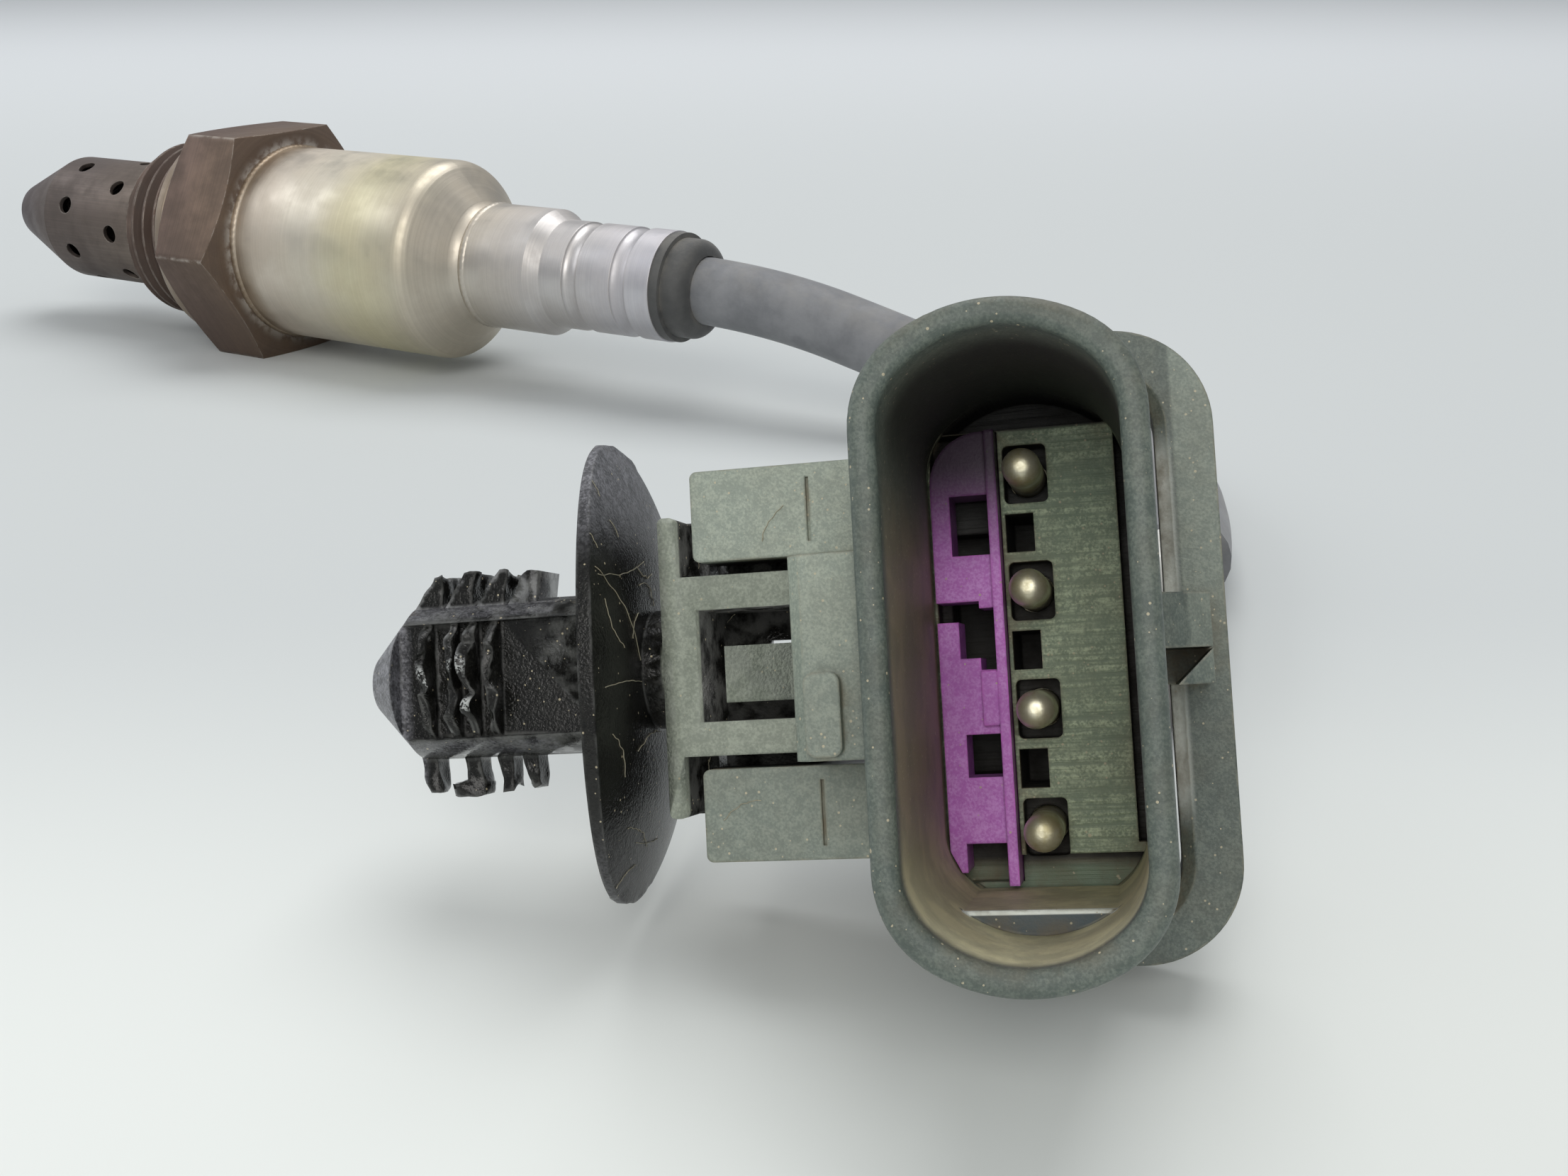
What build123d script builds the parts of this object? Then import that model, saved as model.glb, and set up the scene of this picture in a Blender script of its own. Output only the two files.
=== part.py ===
from build123d import *
import os
from math import cos, pi, radians, sin, tan

# Four-wire exhaust oxygen sensor with its lead, sealed plug and mounting clip.
# The origin is the middle of the sealing ring's front face, on the thread axis.
# +X runs back along the sensor to its lead, -X to the gas end, +Z is up.  The
# sensor lies on one flat of its hexagon.  Sizes are in millimetres.

# --- general fits -------------------------------------------------------------
slip = 0.05                 # radial clearance of parts that slide into each other
seat_gap = 0.10             # clearance round plastic parts that snap together

# --- threaded shell -----------------------------------------------------------
hex_across_flats = 22.0
hex_length = 8.0
hex_chamfer_angle = 25.0
thread_diameter = 18.0
thread_length = 6.6         # in front of the sealing ring
thread_chamfer = 0.8
relief_diameter = 16.2      # under the sealing ring
nose_socket_depth = 1.6
weld_boss_length = 4.2
shoulder_x = 2.2            # where the front bore steps up to the packing bore
front_lip_diameter = 7.2
front_lip_length = 1.8
front_bore_diameter = 9.4
packing_bore_diameter = 11.4

# --- sealing ring -------------------------------------------------------------
ring_diameter = 21.4
ring_thickness = 1.6
ring_round = 0.6

# --- gas tubes ----------------------------------------------------------------
tube_diameter = 13.0
tube_wall = 0.45
tube_tip_x = -30.4
tube_taper_length = 9.0
tube_tip_diameter = 5.4
tube_tip_round = 1.4
tube_end_hole_diameter = 2.2
tube_hole_count = 8
tube_hole_diameter = 1.8
tube_hole_row_x = (-11.4, -18.2)
inner_tube_diameter = 9.2
inner_tube_wall = 0.4
inner_tube_tip_gap = 2.4
inner_tube_tip_diameter = 4.9
inner_tube_flange = 0.5
inner_hole_count = 6
inner_hole_diameter = 1.3
inner_hole_row_x = (-14.8, -19.6)

# --- sensing element and its packing ------------------------------------------
element_width = 4.2
element_thickness = 1.5
element_tip_x = -23.9
element_rear_x = 26.3
powder_length = 4.6
rear_ceramic_length = 7.6
contact_block_length = 11.0
contact_block_diameter = 15.0
contact_block_gap = 2.6
contact_cavity = 7.4
spring_width = 1.2
spring_thickness = 0.35
spring_offset = 1.3         # sideways distance of a spring from the element's middle
barrel_diameter = 2.2
barrel_length = 4.0
barrel_plug = 1.0           # solid front end of each crimp barrel

# --- sleeves and grommet ------------------------------------------------------
sleeve_diameter = 19.0
sleeve_wall = 0.6
sleeve_length = 20.9
sleeve_round = 1.8
shoulder_length = 3.6
neck_diameter = 10.6
neck_length = 8.0
neck_wall = 0.5
rear_sleeve_lap = 7.4
rear_sleeve_wall = 0.5
rear_sleeve_step = 1.2
rear_sleeve_diameter = 10.0
rear_sleeve_length = 11.8
crimp_depth = 0.35
crimp_width = 1.6
crimp_places = (0.28, 0.72)  # along the narrow end of the rear sleeve
boot_length = 3.2
boot_diameter = 8.9
boot_round = 1.1
boot_flange_diameter = 9.8
boot_flange_length = 0.9

# --- lead ---------------------------------------------------------------------
jacket_diameter = 6.0
wire_diameter = 1.7
wire_offset = 1.3           # of each wire from the lead's axis, along Y and along Z
jacket_points = [
    (55.3, 0.0, 0.0),
    (64.3, 0.0, 0.0),
    (79.0, 1.0, -4.0),
    (91.3, 0.8, -7.4),
    (99.8, -4.4, -7.95),
    (106.1, -12.9, -7.95),
    (108.5, -23.6, -7.95),
]
wire_corner = [(-1, -1), (1, -1), (1, 1), (-1, 1)]   # its corner in the jacket's end
wire_exit_depth = [26.0, 29.5, 31.0, 32.0]           # where each wire first bends
wire_middle = [
    (112.9, -42.9, -9.9),
    (108.4, -41.3, -9.0),
    (107.4, -39.1, -5.3),
    (108.0, -37.8, -2.2),
]
wire_lead_in = 10.0         # straight wire in front of the jacket's end

# --- plug: place and shroud ---------------------------------------------------
plug_origin = (114.3, -74.0, 8.25)      # centre of the mouth's rim
plug_yaw = 13.75
plug_nose_up = 25.67
plug_roll = 9.38
pin_count = 4
pin_pitch = 5.0
shroud_width = 10.3
shroud_height = 23.8
shroud_wall = 1.0
end_bulge = 2.6             # how far each end stands out beyond the straight sides
corner_radius = 3.9
floor_depth = 14.0
floor_thickness = 3.0
rim_round = 0.42
keying_step_depth = 7.3
keying_step_height = 9.95   # from the middle down to the step's flat

# --- plug: floor --------------------------------------------------------------
recess_width = 1.85
recess_height = 2.5
recess_depth = 1.6
probe_hole_width = 1.2
probe_hole_height = 1.65
probe_hole_x = -0.35
probe_hole_depth = 5.0
floor_pockets = [           # left, right, top, bottom, depth below the floor
    (-4.4, 4.4, 11.2, 9.45, 2.4),
    (-4.4, 4.4, -8.6, -10.2, 0.8),
    (3.75, 4.4, 9.0, -8.2, 1.5),
]
core_pockets = [            # behind the lock's windows, depth below its seat
    (-3.6, -1.6, 6.7, -8.0, 0.9),
    (-3.6, -1.6, 5.3, -5.3, 2.9),
]

# --- plug: rear neck, seals and cover -----------------------------------------
neck_block_width = 8.2
neck_block_height = 18.8
neck_block_length = 5.2
neck_end_bulge = 1.6
neck_corner = 2.4
seal_diameter = 3.2
seal_length = 2.6
cover_wall = 0.5
cover_plate = 1.6
cover_lap = 3.0

# --- plug: contact pins -------------------------------------------------------
pin_diameter = 1.6
pin_proud = 2.8             # how far a pin's nose stands above the floor
pin_nose = 0.65
pin_collar_diameter = 2.3
pin_collar_length = 1.2

# --- plug: secondary lock -----------------------------------------------------
lock_left = -4.0
lock_right = -1.15
lock_top = 9.35
lock_foot = -9.75
lock_short_foot = -9.2
lock_proud = 0.8
lock_seat = 1.6
lock_rail_width = 0.42
lock_rail_rise = 0.35
lock_corner = 2.2
lock_claw = 0.9
lock_step_x = -3.1
lock_windows = [            # left, right, top, bottom
    (-3.20, -1.55, 6.65, 4.10),
    (-4.50, -2.20, 2.15, 1.30),
    (-2.30, -1.55, 1.85, 1.20),
    (-3.10, -1.55, 1.40, -0.25),
    (-2.25, -1.55, -0.15, -0.75),
    (-3.05, -1.62, -3.45, -5.25),
    (-3.30, -1.62, -8.00, -10.50),
]
lock_tab = (-2.25, -1.55, -0.80, -3.10)

# --- plug: latch guard --------------------------------------------------------
guard_reach = 7.85          # from the middle to the guard's outer face
guard_height = 26.4
guard_bar = 2.4             # beside the shroud
guard_end_bar = 1.9         # beyond the shroud's ends
guard_chamfer = 0.5
guard_corner = 4.2
guard_front_depth = 13.6
guard_length = 3.7
lug_height = 3.5
lug_front_depth = 6.4
lug_ramp = 2.8
lug_notch_top = -0.35       # notch in the lug's lower inner corner
lug_notch_bottom = -2.2
lug_notch_reach = 1.95
lug_notch_depth = 3.4

# --- plug: clip rails ---------------------------------------------------------
rail_reach = 13.6
rail_height = 3.8
rail_gap = 8.6
rail_front_depth = 9.6
rail_length = 8.0
rail_cap = 1.0              # wall left round the coring pocket
rail_corner = 0.3
rail_slot_end_x = -9.0      # inner end of the clip's slot in each rail
rail_slot_width = 1.6
rail_slot_depth = 0.9
rail_slot_wall = 0.6
rail_groove = 0.14
rail_groove_x = -8.6
stop_height = 7.9
stop_reach = 8.75
stop_front_depth = 5.4
stop_length = 3.9
stop_pad = (-8.2, -6.8, -0.6, -3.8)   # left, right, top, bottom
stop_pad_rise = 0.4

# --- mounting clip ------------------------------------------------------------
clip_bar_reach = 15.2
clip_bar_lip = 0.75
clip_bar_thickness = 1.5
clip_bar_height = 12.6
clip_corner = 0.25
clip_notch_depth = 2.6      # of the gap between the bar's lip and the rails
clip_arm_inner = 2.35
clip_arm_outer = 3.75
clip_length = 6.0
clip_front_depth = 9.9
clip_end_x = -8.95
clip_web = 0.7
clip_back = 1.2
clip_slit = 0.3             # left open over the finger, through the back
clip_slit_length = 1.6
flange_length = 4.2
finger_reach = 12.6
finger_height = 2.35
finger_y = -0.4
finger_thickness = 3.2
disc_height = 20.2
disc_width = 14.0
disc_dish = 1.7
disc_edge = 0.35
disc_hub_diameter = 8.0
disc_face_x = -16.3
disc_thickness = 0.9
hub_neck_diameter = 5.2
stud_diameter = 7.0
stud_shoulder_x = -27.25
stud_tip_x = -29.4
stud_tip_diameter = 2.7
stud_web = 4.0              # left between the stud's front and back pockets
stud_pocket_x = -27.7
stud_pocket_height = 5.0
stud_rib_x = (-26.3, -25.1, -24.2, -23.2)
stud_rib_thickness = 0.35
stud_rib_reach = 3.1        # of the ribs in front of and behind the stud's axis
top_fin_x = (-27.25, -25.8, -24.3, -22.8)
top_fin_width = 2.6
top_fin_outline = [         # along the stud and away from its axis
    (0.0, 3.2),
    (1.05, 4.65),
    (1.5, 4.65),
    (1.3, 3.2),
]
leg_x = (-27.5, -25.45, -23.9, -22.7)
leg_width = 1.2
leg_outline = [
    (0.0, -3.2),
    (0.35, -4.95),
    (0.85, -4.95),
    (0.75, -3.2),
]
bent_leg = 1                # the one whose foot turns towards the tip
leg_foot = 0.9
leg_foot_thickness = 0.45


def rounded_end_outline(width, height, bulge, corner):
    """Slot-like outline with two straight sides and two shallow domed ends."""
    side = height / 2 - bulge
    with BuildSketch() as outline:
        with BuildLine():
            Line((-width / 2, -side), (-width / 2, side))
            ThreePointArc((-width / 2, side), (0, height / 2), (width / 2, side))
            Line((width / 2, side), (width / 2, -side))
            ThreePointArc((width / 2, -side), (0, -height / 2), (-width / 2, -side))
        make_face()
        fillet(outline.vertices(), corner)
    return outline.sketch


def corner_radii(points):
    """Largest tangent arc that each corner of a route has room for."""
    radii = []
    for before, here, after in zip(points, points[1:], points[2:]):
        run_in = Vector(*here) - Vector(*before)
        run_out = Vector(*after) - Vector(*here)
        half_turn = radians(run_in.get_angle(run_out)) / 2
        radii.append(0.45 * min(run_in.length, run_out.length) / tan(half_turn))
    return radii


def cord_between(points, diameter, label):
    """Round cord of straight runs joined by tangent arcs."""
    radii = corner_radii(points)
    with BuildPart() as cord:
        with BuildLine():
            route = FilletPolyline(*points, radius=radii)
        with BuildSketch(Plane(origin=points[0], z_dir=route % 0)):
            Circle(diameter / 2)
        sweep(path=route)
    section = pi * diameter ** 2 / 4
    length = route.length
    print(label, "length", round(length, 1), "radii", [round(r, 1) for r in radii],
          "volume ratio", round(cord.part.volume / (section * length), 4))
    return cord.part


def save(part, name):
    """Label a finished piece and write it to its own file."""
    part.label = name
    export_step(part, "parts/" + name + ".step")


# --- places along the sensor that several pieces share ------------------------
thread_front_x = -thread_length
socket_floor_x = thread_front_x + nose_socket_depth
front_ceramic_x = socket_floor_x + front_lip_length
hex_end_x = ring_thickness + hex_length
boss_end_x = hex_end_x + weld_boss_length
powder_end_x = shoulder_x + powder_length
rear_ceramic_end_x = powder_end_x + rear_ceramic_length
block_start_x = rear_ceramic_end_x + contact_block_gap
block_end_x = block_start_x + contact_block_length
sleeve_end_x = hex_end_x + sleeve_length
neck_start_x = sleeve_end_x + shoulder_length
neck_end_x = neck_start_x + neck_length
narrow_start_x = neck_end_x + rear_sleeve_step
narrow_end_x = narrow_start_x + rear_sleeve_length
boot_end_x = narrow_end_x + boot_length
jacket_start_x = jacket_points[0][0]
barrel_start_x = block_end_x + slip
os.makedirs("parts", exist_ok=True)

# ---------------------------------------------------------------- threaded shell
hex_corner_radius = hex_across_flats / 2 / cos(radians(30))
hex_chamfer = hex_corner_radius - hex_across_flats / 2 + 0.25
hex_chamfer_length = hex_chamfer * tan(radians(hex_chamfer_angle))
boss_radius = sleeve_diameter / 2 - sleeve_wall - slip

with BuildPart() as threaded_shell:
    with BuildSketch(Plane.YZ.offset(ring_thickness)):
        RegularPolygon(radius=hex_across_flats / 2, side_count=6, major_radius=False)
    extrude(amount=hex_length)
    with BuildSketch(Plane.XZ):
        with BuildLine():
            Polyline(
                (ring_thickness, 0),
                (ring_thickness, hex_corner_radius - hex_chamfer),
                (ring_thickness + hex_chamfer_length, hex_corner_radius),
                (hex_end_x - hex_chamfer_length, hex_corner_radius),
                (hex_end_x, hex_corner_radius - hex_chamfer),
                (hex_end_x, 0),
                close=True,
            )
        make_face()
    revolve(axis=Axis.X, mode=Mode.INTERSECT)
    with BuildSketch(Plane.XZ):
        with BuildLine():
            Polyline(
                (thread_front_x, 0),
                (thread_front_x, thread_diameter / 2 - thread_chamfer),
                (thread_front_x + thread_chamfer, thread_diameter / 2),
                (0, thread_diameter / 2),
                (0, relief_diameter / 2),
                (ring_thickness, relief_diameter / 2),
                (hex_end_x, boss_radius),
                (boss_end_x, boss_radius),
                (boss_end_x, 0),
                close=True,
            )
        make_face()
    revolve(axis=Axis.X)
    with BuildSketch(Plane.XZ):
        with BuildLine():
            Polyline(
                (thread_front_x, 0),
                (thread_front_x, tube_diameter / 2 + slip),
                (socket_floor_x, tube_diameter / 2 + slip),
                (socket_floor_x, front_lip_diameter / 2),
                (front_ceramic_x, front_lip_diameter / 2),
                (front_ceramic_x, front_bore_diameter / 2),
                (shoulder_x, front_bore_diameter / 2),
                (shoulder_x, packing_bore_diameter / 2),
                (boss_end_x, packing_bore_diameter / 2),
                (boss_end_x, 0),
                close=True,
            )
        make_face()
    revolve(axis=Axis.X, mode=Mode.SUBTRACT)
save(threaded_shell.part, "threaded_shell")

# ---------------------------------------------------------------- captive sealing ring
ring_inner_radius = relief_diameter / 2 + slip
ring_height = ring_diameter / 2 - ring_inner_radius
with BuildPart() as sealing_ring:
    with BuildSketch(Plane.XZ):
        with Locations((ring_thickness / 2, ring_inner_radius + ring_height / 2)):
            RectangleRounded(ring_thickness, ring_height, ring_round)
    revolve(axis=Axis.X)
save(sealing_ring.part, "sealing_ring")

# ---------------------------------------------------------------- gas tubes
tube_radius = tube_diameter / 2
taper_start_x = tube_tip_x + tube_taper_length
tube_tip_radius = tube_tip_diameter / 2
end_hole_radius = tube_end_hole_diameter / 2
with BuildPart() as outer_gas_tube:
    with BuildSketch(Plane.XZ) as tube_profile:
        with BuildLine():
            Polyline(
                (socket_floor_x, tube_radius),
                (taper_start_x, tube_radius),
                (tube_tip_x, tube_tip_radius),
                (tube_tip_x, end_hole_radius),
                (tube_tip_x + tube_wall, end_hole_radius),
                (tube_tip_x + tube_wall, tube_tip_radius - tube_wall),
                (taper_start_x, tube_radius - tube_wall),
                (socket_floor_x, tube_radius - tube_wall),
                close=True,
            )
        make_face()
        corners = tube_profile.vertices()
        outer_corner = corners.sort_by_distance((tube_tip_x, tube_tip_radius))[0]
        fillet(outer_corner, tube_tip_round)
        corners = tube_profile.vertices()
        inner_corner = corners.sort_by_distance(
            (tube_tip_x + tube_wall, tube_tip_radius - tube_wall))[0]
        fillet(inner_corner, tube_tip_round - tube_wall)
    revolve(axis=Axis.X)
    for row, hole_x in enumerate(tube_hole_row_x):
        for number in range(tube_hole_count):
            turn = 360 / tube_hole_count * (number + row / 2)
            with BuildSketch(Plane((hole_x, 0, 0), x_dir=(1, 0, 0), z_dir=(0, cos(radians(turn)),
                                                                          sin(radians(turn))))):
                Circle(tube_hole_diameter / 2)
            extrude(amount=tube_diameter, mode=Mode.SUBTRACT)
save(outer_gas_tube.part, "outer_gas_tube")

inner_radius = inner_tube_diameter / 2
inner_tip_radius = inner_tube_tip_diameter / 2
inner_tip_x = tube_tip_x + inner_tube_tip_gap
flange_radius = tube_radius - tube_wall - slip
with BuildPart() as inner_gas_tube:
    with BuildSketch(Plane.XZ):
        with BuildLine():
            Polyline(
                (socket_floor_x, inner_radius - inner_tube_wall),
                (socket_floor_x, flange_radius),
                (socket_floor_x - inner_tube_flange, flange_radius),
                (socket_floor_x - inner_tube_flange, inner_radius),
                (taper_start_x, inner_radius),
                (inner_tip_x, inner_tip_radius),
                (inner_tip_x, tube_end_hole_diameter / 4),
                (inner_tip_x + inner_tube_wall, tube_end_hole_diameter / 4),
                (inner_tip_x + inner_tube_wall, inner_tip_radius - inner_tube_wall),
                (taper_start_x, inner_radius - inner_tube_wall),
                close=True,
            )
        make_face()
    revolve(axis=Axis.X)
    for row, hole_x in enumerate(inner_hole_row_x):
        for number in range(inner_hole_count):
            turn = 360 / inner_hole_count * (number + row / 2)
            with BuildSketch(Plane((hole_x, 0, 0), x_dir=(1, 0, 0), z_dir=(0, cos(radians(turn)),
                                                                          sin(radians(turn))))):
                Circle(inner_hole_diameter / 2)
            extrude(amount=inner_tube_diameter, mode=Mode.SUBTRACT)
save(inner_gas_tube.part, "inner_gas_tube")

# ---------------------------------------------------------------- ceramics and element
with BuildPart() as sensing_element:
    with BuildSketch(Plane.YZ.offset(element_tip_x)):
        Rectangle(element_width, element_thickness)
    extrude(amount=element_rear_x - element_tip_x)
    chamfer(sensing_element.faces().sort_by(Axis.X)[0].edges(), element_thickness * 0.25)
save(sensing_element.part, "sensing_element")


def packing_disc(start_x, end_x, bore_diameter, name):
    """Round packing piece with a slot for the sensing element."""
    with BuildPart() as disc:
        with BuildSketch(Plane.YZ.offset(start_x)):
            Circle(bore_diameter / 2 - slip)
            Rectangle(element_width + 2 * slip, element_thickness + 2 * slip, mode=Mode.SUBTRACT)
        extrude(amount=end_x - start_x)
    save(disc.part, name)


packing_disc(front_ceramic_x, shoulder_x, front_bore_diameter, "front_ceramic")
packing_disc(shoulder_x, powder_end_x, packing_bore_diameter, "powder_packing")
packing_disc(powder_end_x, rear_ceramic_end_x, packing_bore_diameter, "rear_ceramic")

# ---------------------------------------------------------------- contact block and springs
with BuildPart() as contact_block:
    with BuildSketch(Plane.YZ.offset(block_start_x)):
        Circle(contact_block_diameter / 2)
        Rectangle(contact_cavity, contact_cavity, mode=Mode.SUBTRACT)
    extrude(amount=contact_block_length)
    chamfer(contact_block.edges().filter_by(GeomType.CIRCLE), 0.6)
save(contact_block.part, "contact_block")

pad_face = element_thickness / 2 + slip
spring_tip_x = block_start_x + 1.2
spring_touch_x = (spring_tip_x + element_rear_x) / 2
for index, (side, level) in enumerate([(-1, 1), (1, 1), (-1, -1), (1, -1)]):
    with BuildPart() as contact_spring:
        with BuildSketch(Plane.XZ.offset(-side * spring_offset)):
            with BuildLine():
                Polyline(
                    (spring_tip_x, level * (pad_face + 0.6)),
                    (spring_touch_x, level * pad_face),
                    (element_rear_x, level * (pad_face + 0.5)),
                    (barrel_start_x + barrel_plug / 2, level * (pad_face + 0.5)),
                    (barrel_start_x + barrel_plug / 2,
                     level * (pad_face + 0.5 + spring_thickness)),
                    (element_rear_x, level * (pad_face + 0.5 + spring_thickness)),
                    (spring_touch_x, level * (pad_face + spring_thickness)),
                    (spring_tip_x, level * (pad_face + 0.6 + spring_thickness)),
                    close=True,
                )
            make_face()
        extrude(amount=spring_width / 2, both=True)
        with BuildSketch(Plane.YZ.offset(barrel_start_x)):
            with Locations((side * wire_offset, level * wire_offset)):
                Circle(barrel_diameter / 2)
        extrude(amount=barrel_length)
        with BuildSketch(Plane.YZ.offset(barrel_start_x + barrel_plug)):
            with Locations((side * wire_offset, level * wire_offset)):
                Circle(wire_diameter / 2 + slip / 2)
        extrude(amount=barrel_length, mode=Mode.SUBTRACT)
    save(contact_spring.part, "contact_spring_" + str(index + 1))

with BuildPart() as wire_tails:
    with BuildSketch(Plane.YZ.offset(barrel_start_x + barrel_plug)):
        with GridLocations(2 * wire_offset, 2 * wire_offset, 2, 2):
            Circle(wire_diameter / 2)
    extrude(amount=jacket_start_x - barrel_start_x - barrel_plug)
save(wire_tails.part, "wire_tails")

# ---------------------------------------------------------------- sleeves
with BuildPart() as body_sleeve:
    with BuildSketch(Plane.XZ) as sleeve_profile:
        with BuildLine():
            Polyline(
                (hex_end_x + slip, 0),
                (hex_end_x + slip, sleeve_diameter / 2),
                (sleeve_end_x, sleeve_diameter / 2),
                (neck_start_x, neck_diameter / 2),
                (neck_end_x, neck_diameter / 2),
                (neck_end_x, 0),
                close=True,
            )
        make_face()
        shoulder_corners = sleeve_profile.vertices().filter_by_position(
            Axis.X, sleeve_end_x - 1, neck_start_x + 1
        )
        fillet(shoulder_corners, sleeve_round)
    revolve(axis=Axis.X)
    with BuildSketch(Plane.XZ) as sleeve_inside:
        with BuildLine():
            Polyline(
                (hex_end_x + slip, 0),
                (hex_end_x + slip, sleeve_diameter / 2 - sleeve_wall),
                (sleeve_end_x, sleeve_diameter / 2 - sleeve_wall),
                (neck_start_x, neck_diameter / 2 - neck_wall),
                (neck_end_x, neck_diameter / 2 - neck_wall),
                (neck_end_x, 0),
                close=True,
            )
        make_face()
        inner_corners = sleeve_inside.vertices().filter_by_position(
            Axis.X, sleeve_end_x - 1, neck_start_x + 1
        )
        fillet(inner_corners, sleeve_round - sleeve_wall)
    revolve(axis=Axis.X, mode=Mode.SUBTRACT)
save(body_sleeve.part, "body_sleeve")

lap_start_x = neck_end_x - rear_sleeve_lap
lap_radius = neck_diameter / 2 + slip
with BuildPart() as rear_sleeve:
    with BuildSketch(Plane.XZ):
        with BuildLine():
            Polyline(
                (lap_start_x, lap_radius),
                (lap_start_x, lap_radius + rear_sleeve_wall),
                (neck_end_x, lap_radius + rear_sleeve_wall),
                (narrow_start_x, rear_sleeve_diameter / 2),
                (narrow_end_x, rear_sleeve_diameter / 2),
                (narrow_end_x, rear_sleeve_diameter / 2 - rear_sleeve_wall),
                (narrow_start_x, rear_sleeve_diameter / 2 - rear_sleeve_wall),
                (neck_end_x, lap_radius),
                close=True,
            )
        make_face()
        for place in crimp_places:
            with Locations((narrow_start_x + place * rear_sleeve_length,
                            rear_sleeve_diameter / 2)):
                Ellipse(crimp_width / 2, crimp_depth, mode=Mode.SUBTRACT)
    revolve(axis=Axis.X)
save(rear_sleeve.part, "rear_sleeve")

grommet_radius = rear_sleeve_diameter / 2 - rear_sleeve_wall - slip
with BuildPart() as cable_grommet:
    with BuildSketch(Plane.XZ) as grommet_profile:
        with BuildLine():
            Polyline(
                (narrow_start_x, 0),
                (narrow_start_x, grommet_radius),
                (narrow_end_x, grommet_radius),
                (narrow_end_x, boot_flange_diameter / 2),
                (narrow_end_x + boot_flange_length, boot_flange_diameter / 2),
                (narrow_end_x + boot_flange_length, boot_diameter / 2),
                (boot_end_x, boot_diameter / 2),
                (boot_end_x, 0),
                close=True,
            )
        make_face()
        fillet(grommet_profile.vertices().group_by(Axis.X)[-1].sort_by(Axis.Y)[-1], boot_round)
    revolve(axis=Axis.X)
    with BuildSketch(Plane.YZ.offset(jacket_start_x)):
        Circle(jacket_diameter / 2 + slip)
    extrude(amount=boot_end_x - jacket_start_x, mode=Mode.SUBTRACT)
    with BuildSketch(Plane.YZ.offset(narrow_start_x)):
        with GridLocations(2 * wire_offset, 2 * wire_offset, 2, 2):
            Circle(wire_diameter / 2 + slip)
    extrude(amount=jacket_start_x - narrow_start_x, mode=Mode.SUBTRACT)
save(cable_grommet.part, "cable_grommet")

# ---------------------------------------------------------------- the plug's own frame
yaw, nose_up, roll = radians(plug_yaw), radians(plug_nose_up), radians(plug_roll)
mouth = Vector(sin(yaw) * cos(nose_up), -cos(yaw) * cos(nose_up), sin(nose_up))
level_x = Vector(cos(yaw), sin(yaw), 0)
plug = Plane(
    origin=plug_origin,
    x_dir=level_x * cos(roll) + mouth.cross(level_x) * sin(roll),
    z_dir=mouth,
)


def at_depth(depth, x=0, y=0):
    """Plane across the plug's axis, at a depth behind the mouth's rim."""
    return Plane(plug.from_local_coords((x, y, -depth)), x_dir=plug.x_dir, z_dir=plug.z_dir)


def side_view(x):
    """Plane with depth to the right and the plug's height upwards."""
    return Plane(plug.from_local_coords((x, 0, 0)), x_dir=-plug.z_dir, z_dir=plug.x_dir)


def top_view(y):
    """Plane with the plug's width to the right and depth upwards."""
    return Plane(plug.from_local_coords((0, y, 0)), x_dir=plug.x_dir, z_dir=plug.y_dir)


pin_heights = [pin_pitch * (number - (pin_count - 1) / 2) for number in range(pin_count)]
shroud_outline = rounded_end_outline(shroud_width, shroud_height, end_bulge, corner_radius)
cavity_outline = rounded_end_outline(
    shroud_width - 2 * shroud_wall,
    shroud_height - 2 * shroud_wall,
    end_bulge - 0.2,
    corner_radius - shroud_wall,
)
neck_outline = rounded_end_outline(
    neck_block_width, neck_block_height, neck_end_bulge, neck_corner
)
cover_inside = rounded_end_outline(
    neck_block_width + 2 * seat_gap,
    neck_block_height + 2 * seat_gap,
    neck_end_bulge,
    neck_corner + seat_gap,
)
cover_outline = rounded_end_outline(
    neck_block_width + 2 * seat_gap + 2 * cover_wall,
    neck_block_height + 2 * seat_gap + 2 * cover_wall,
    neck_end_bulge,
    neck_corner + seat_gap + cover_wall,
)
body_depth = floor_depth + floor_thickness
neck_depth = body_depth + neck_block_length

# ---------------------------------------------------------------- plug housing
guard_inner_reach = guard_reach - guard_bar
guard_root = shroud_width / 2 - shroud_wall
rail_root = shroud_width / 2 - shroud_wall / 2
clip_middle = clip_front_depth + clip_length / 2
with BuildPart() as guard:
    with BuildSketch(at_depth(guard_front_depth)):
        RectangleRounded(2 * guard_reach, guard_height, guard_corner)
        RectangleRounded(
            2 * guard_inner_reach,
            guard_height - 2 * guard_end_bar,
            guard_corner - guard_end_bar,
            mode=Mode.SUBTRACT,
        )
    extrude(amount=-guard_length)
    guard_front = guard.faces().sort_by(Axis(plug.origin, plug.z_dir))[-1]
    chamfer(guard_front.inner_wires()[0].edges(), guard_chamfer)
    with BuildSketch(at_depth(guard_front_depth)):
        with Locations((-guard_reach, 0)):
            Rectangle(2 * guard_reach, guard_height)
    extrude(amount=-guard_length, mode=Mode.SUBTRACT)

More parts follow.
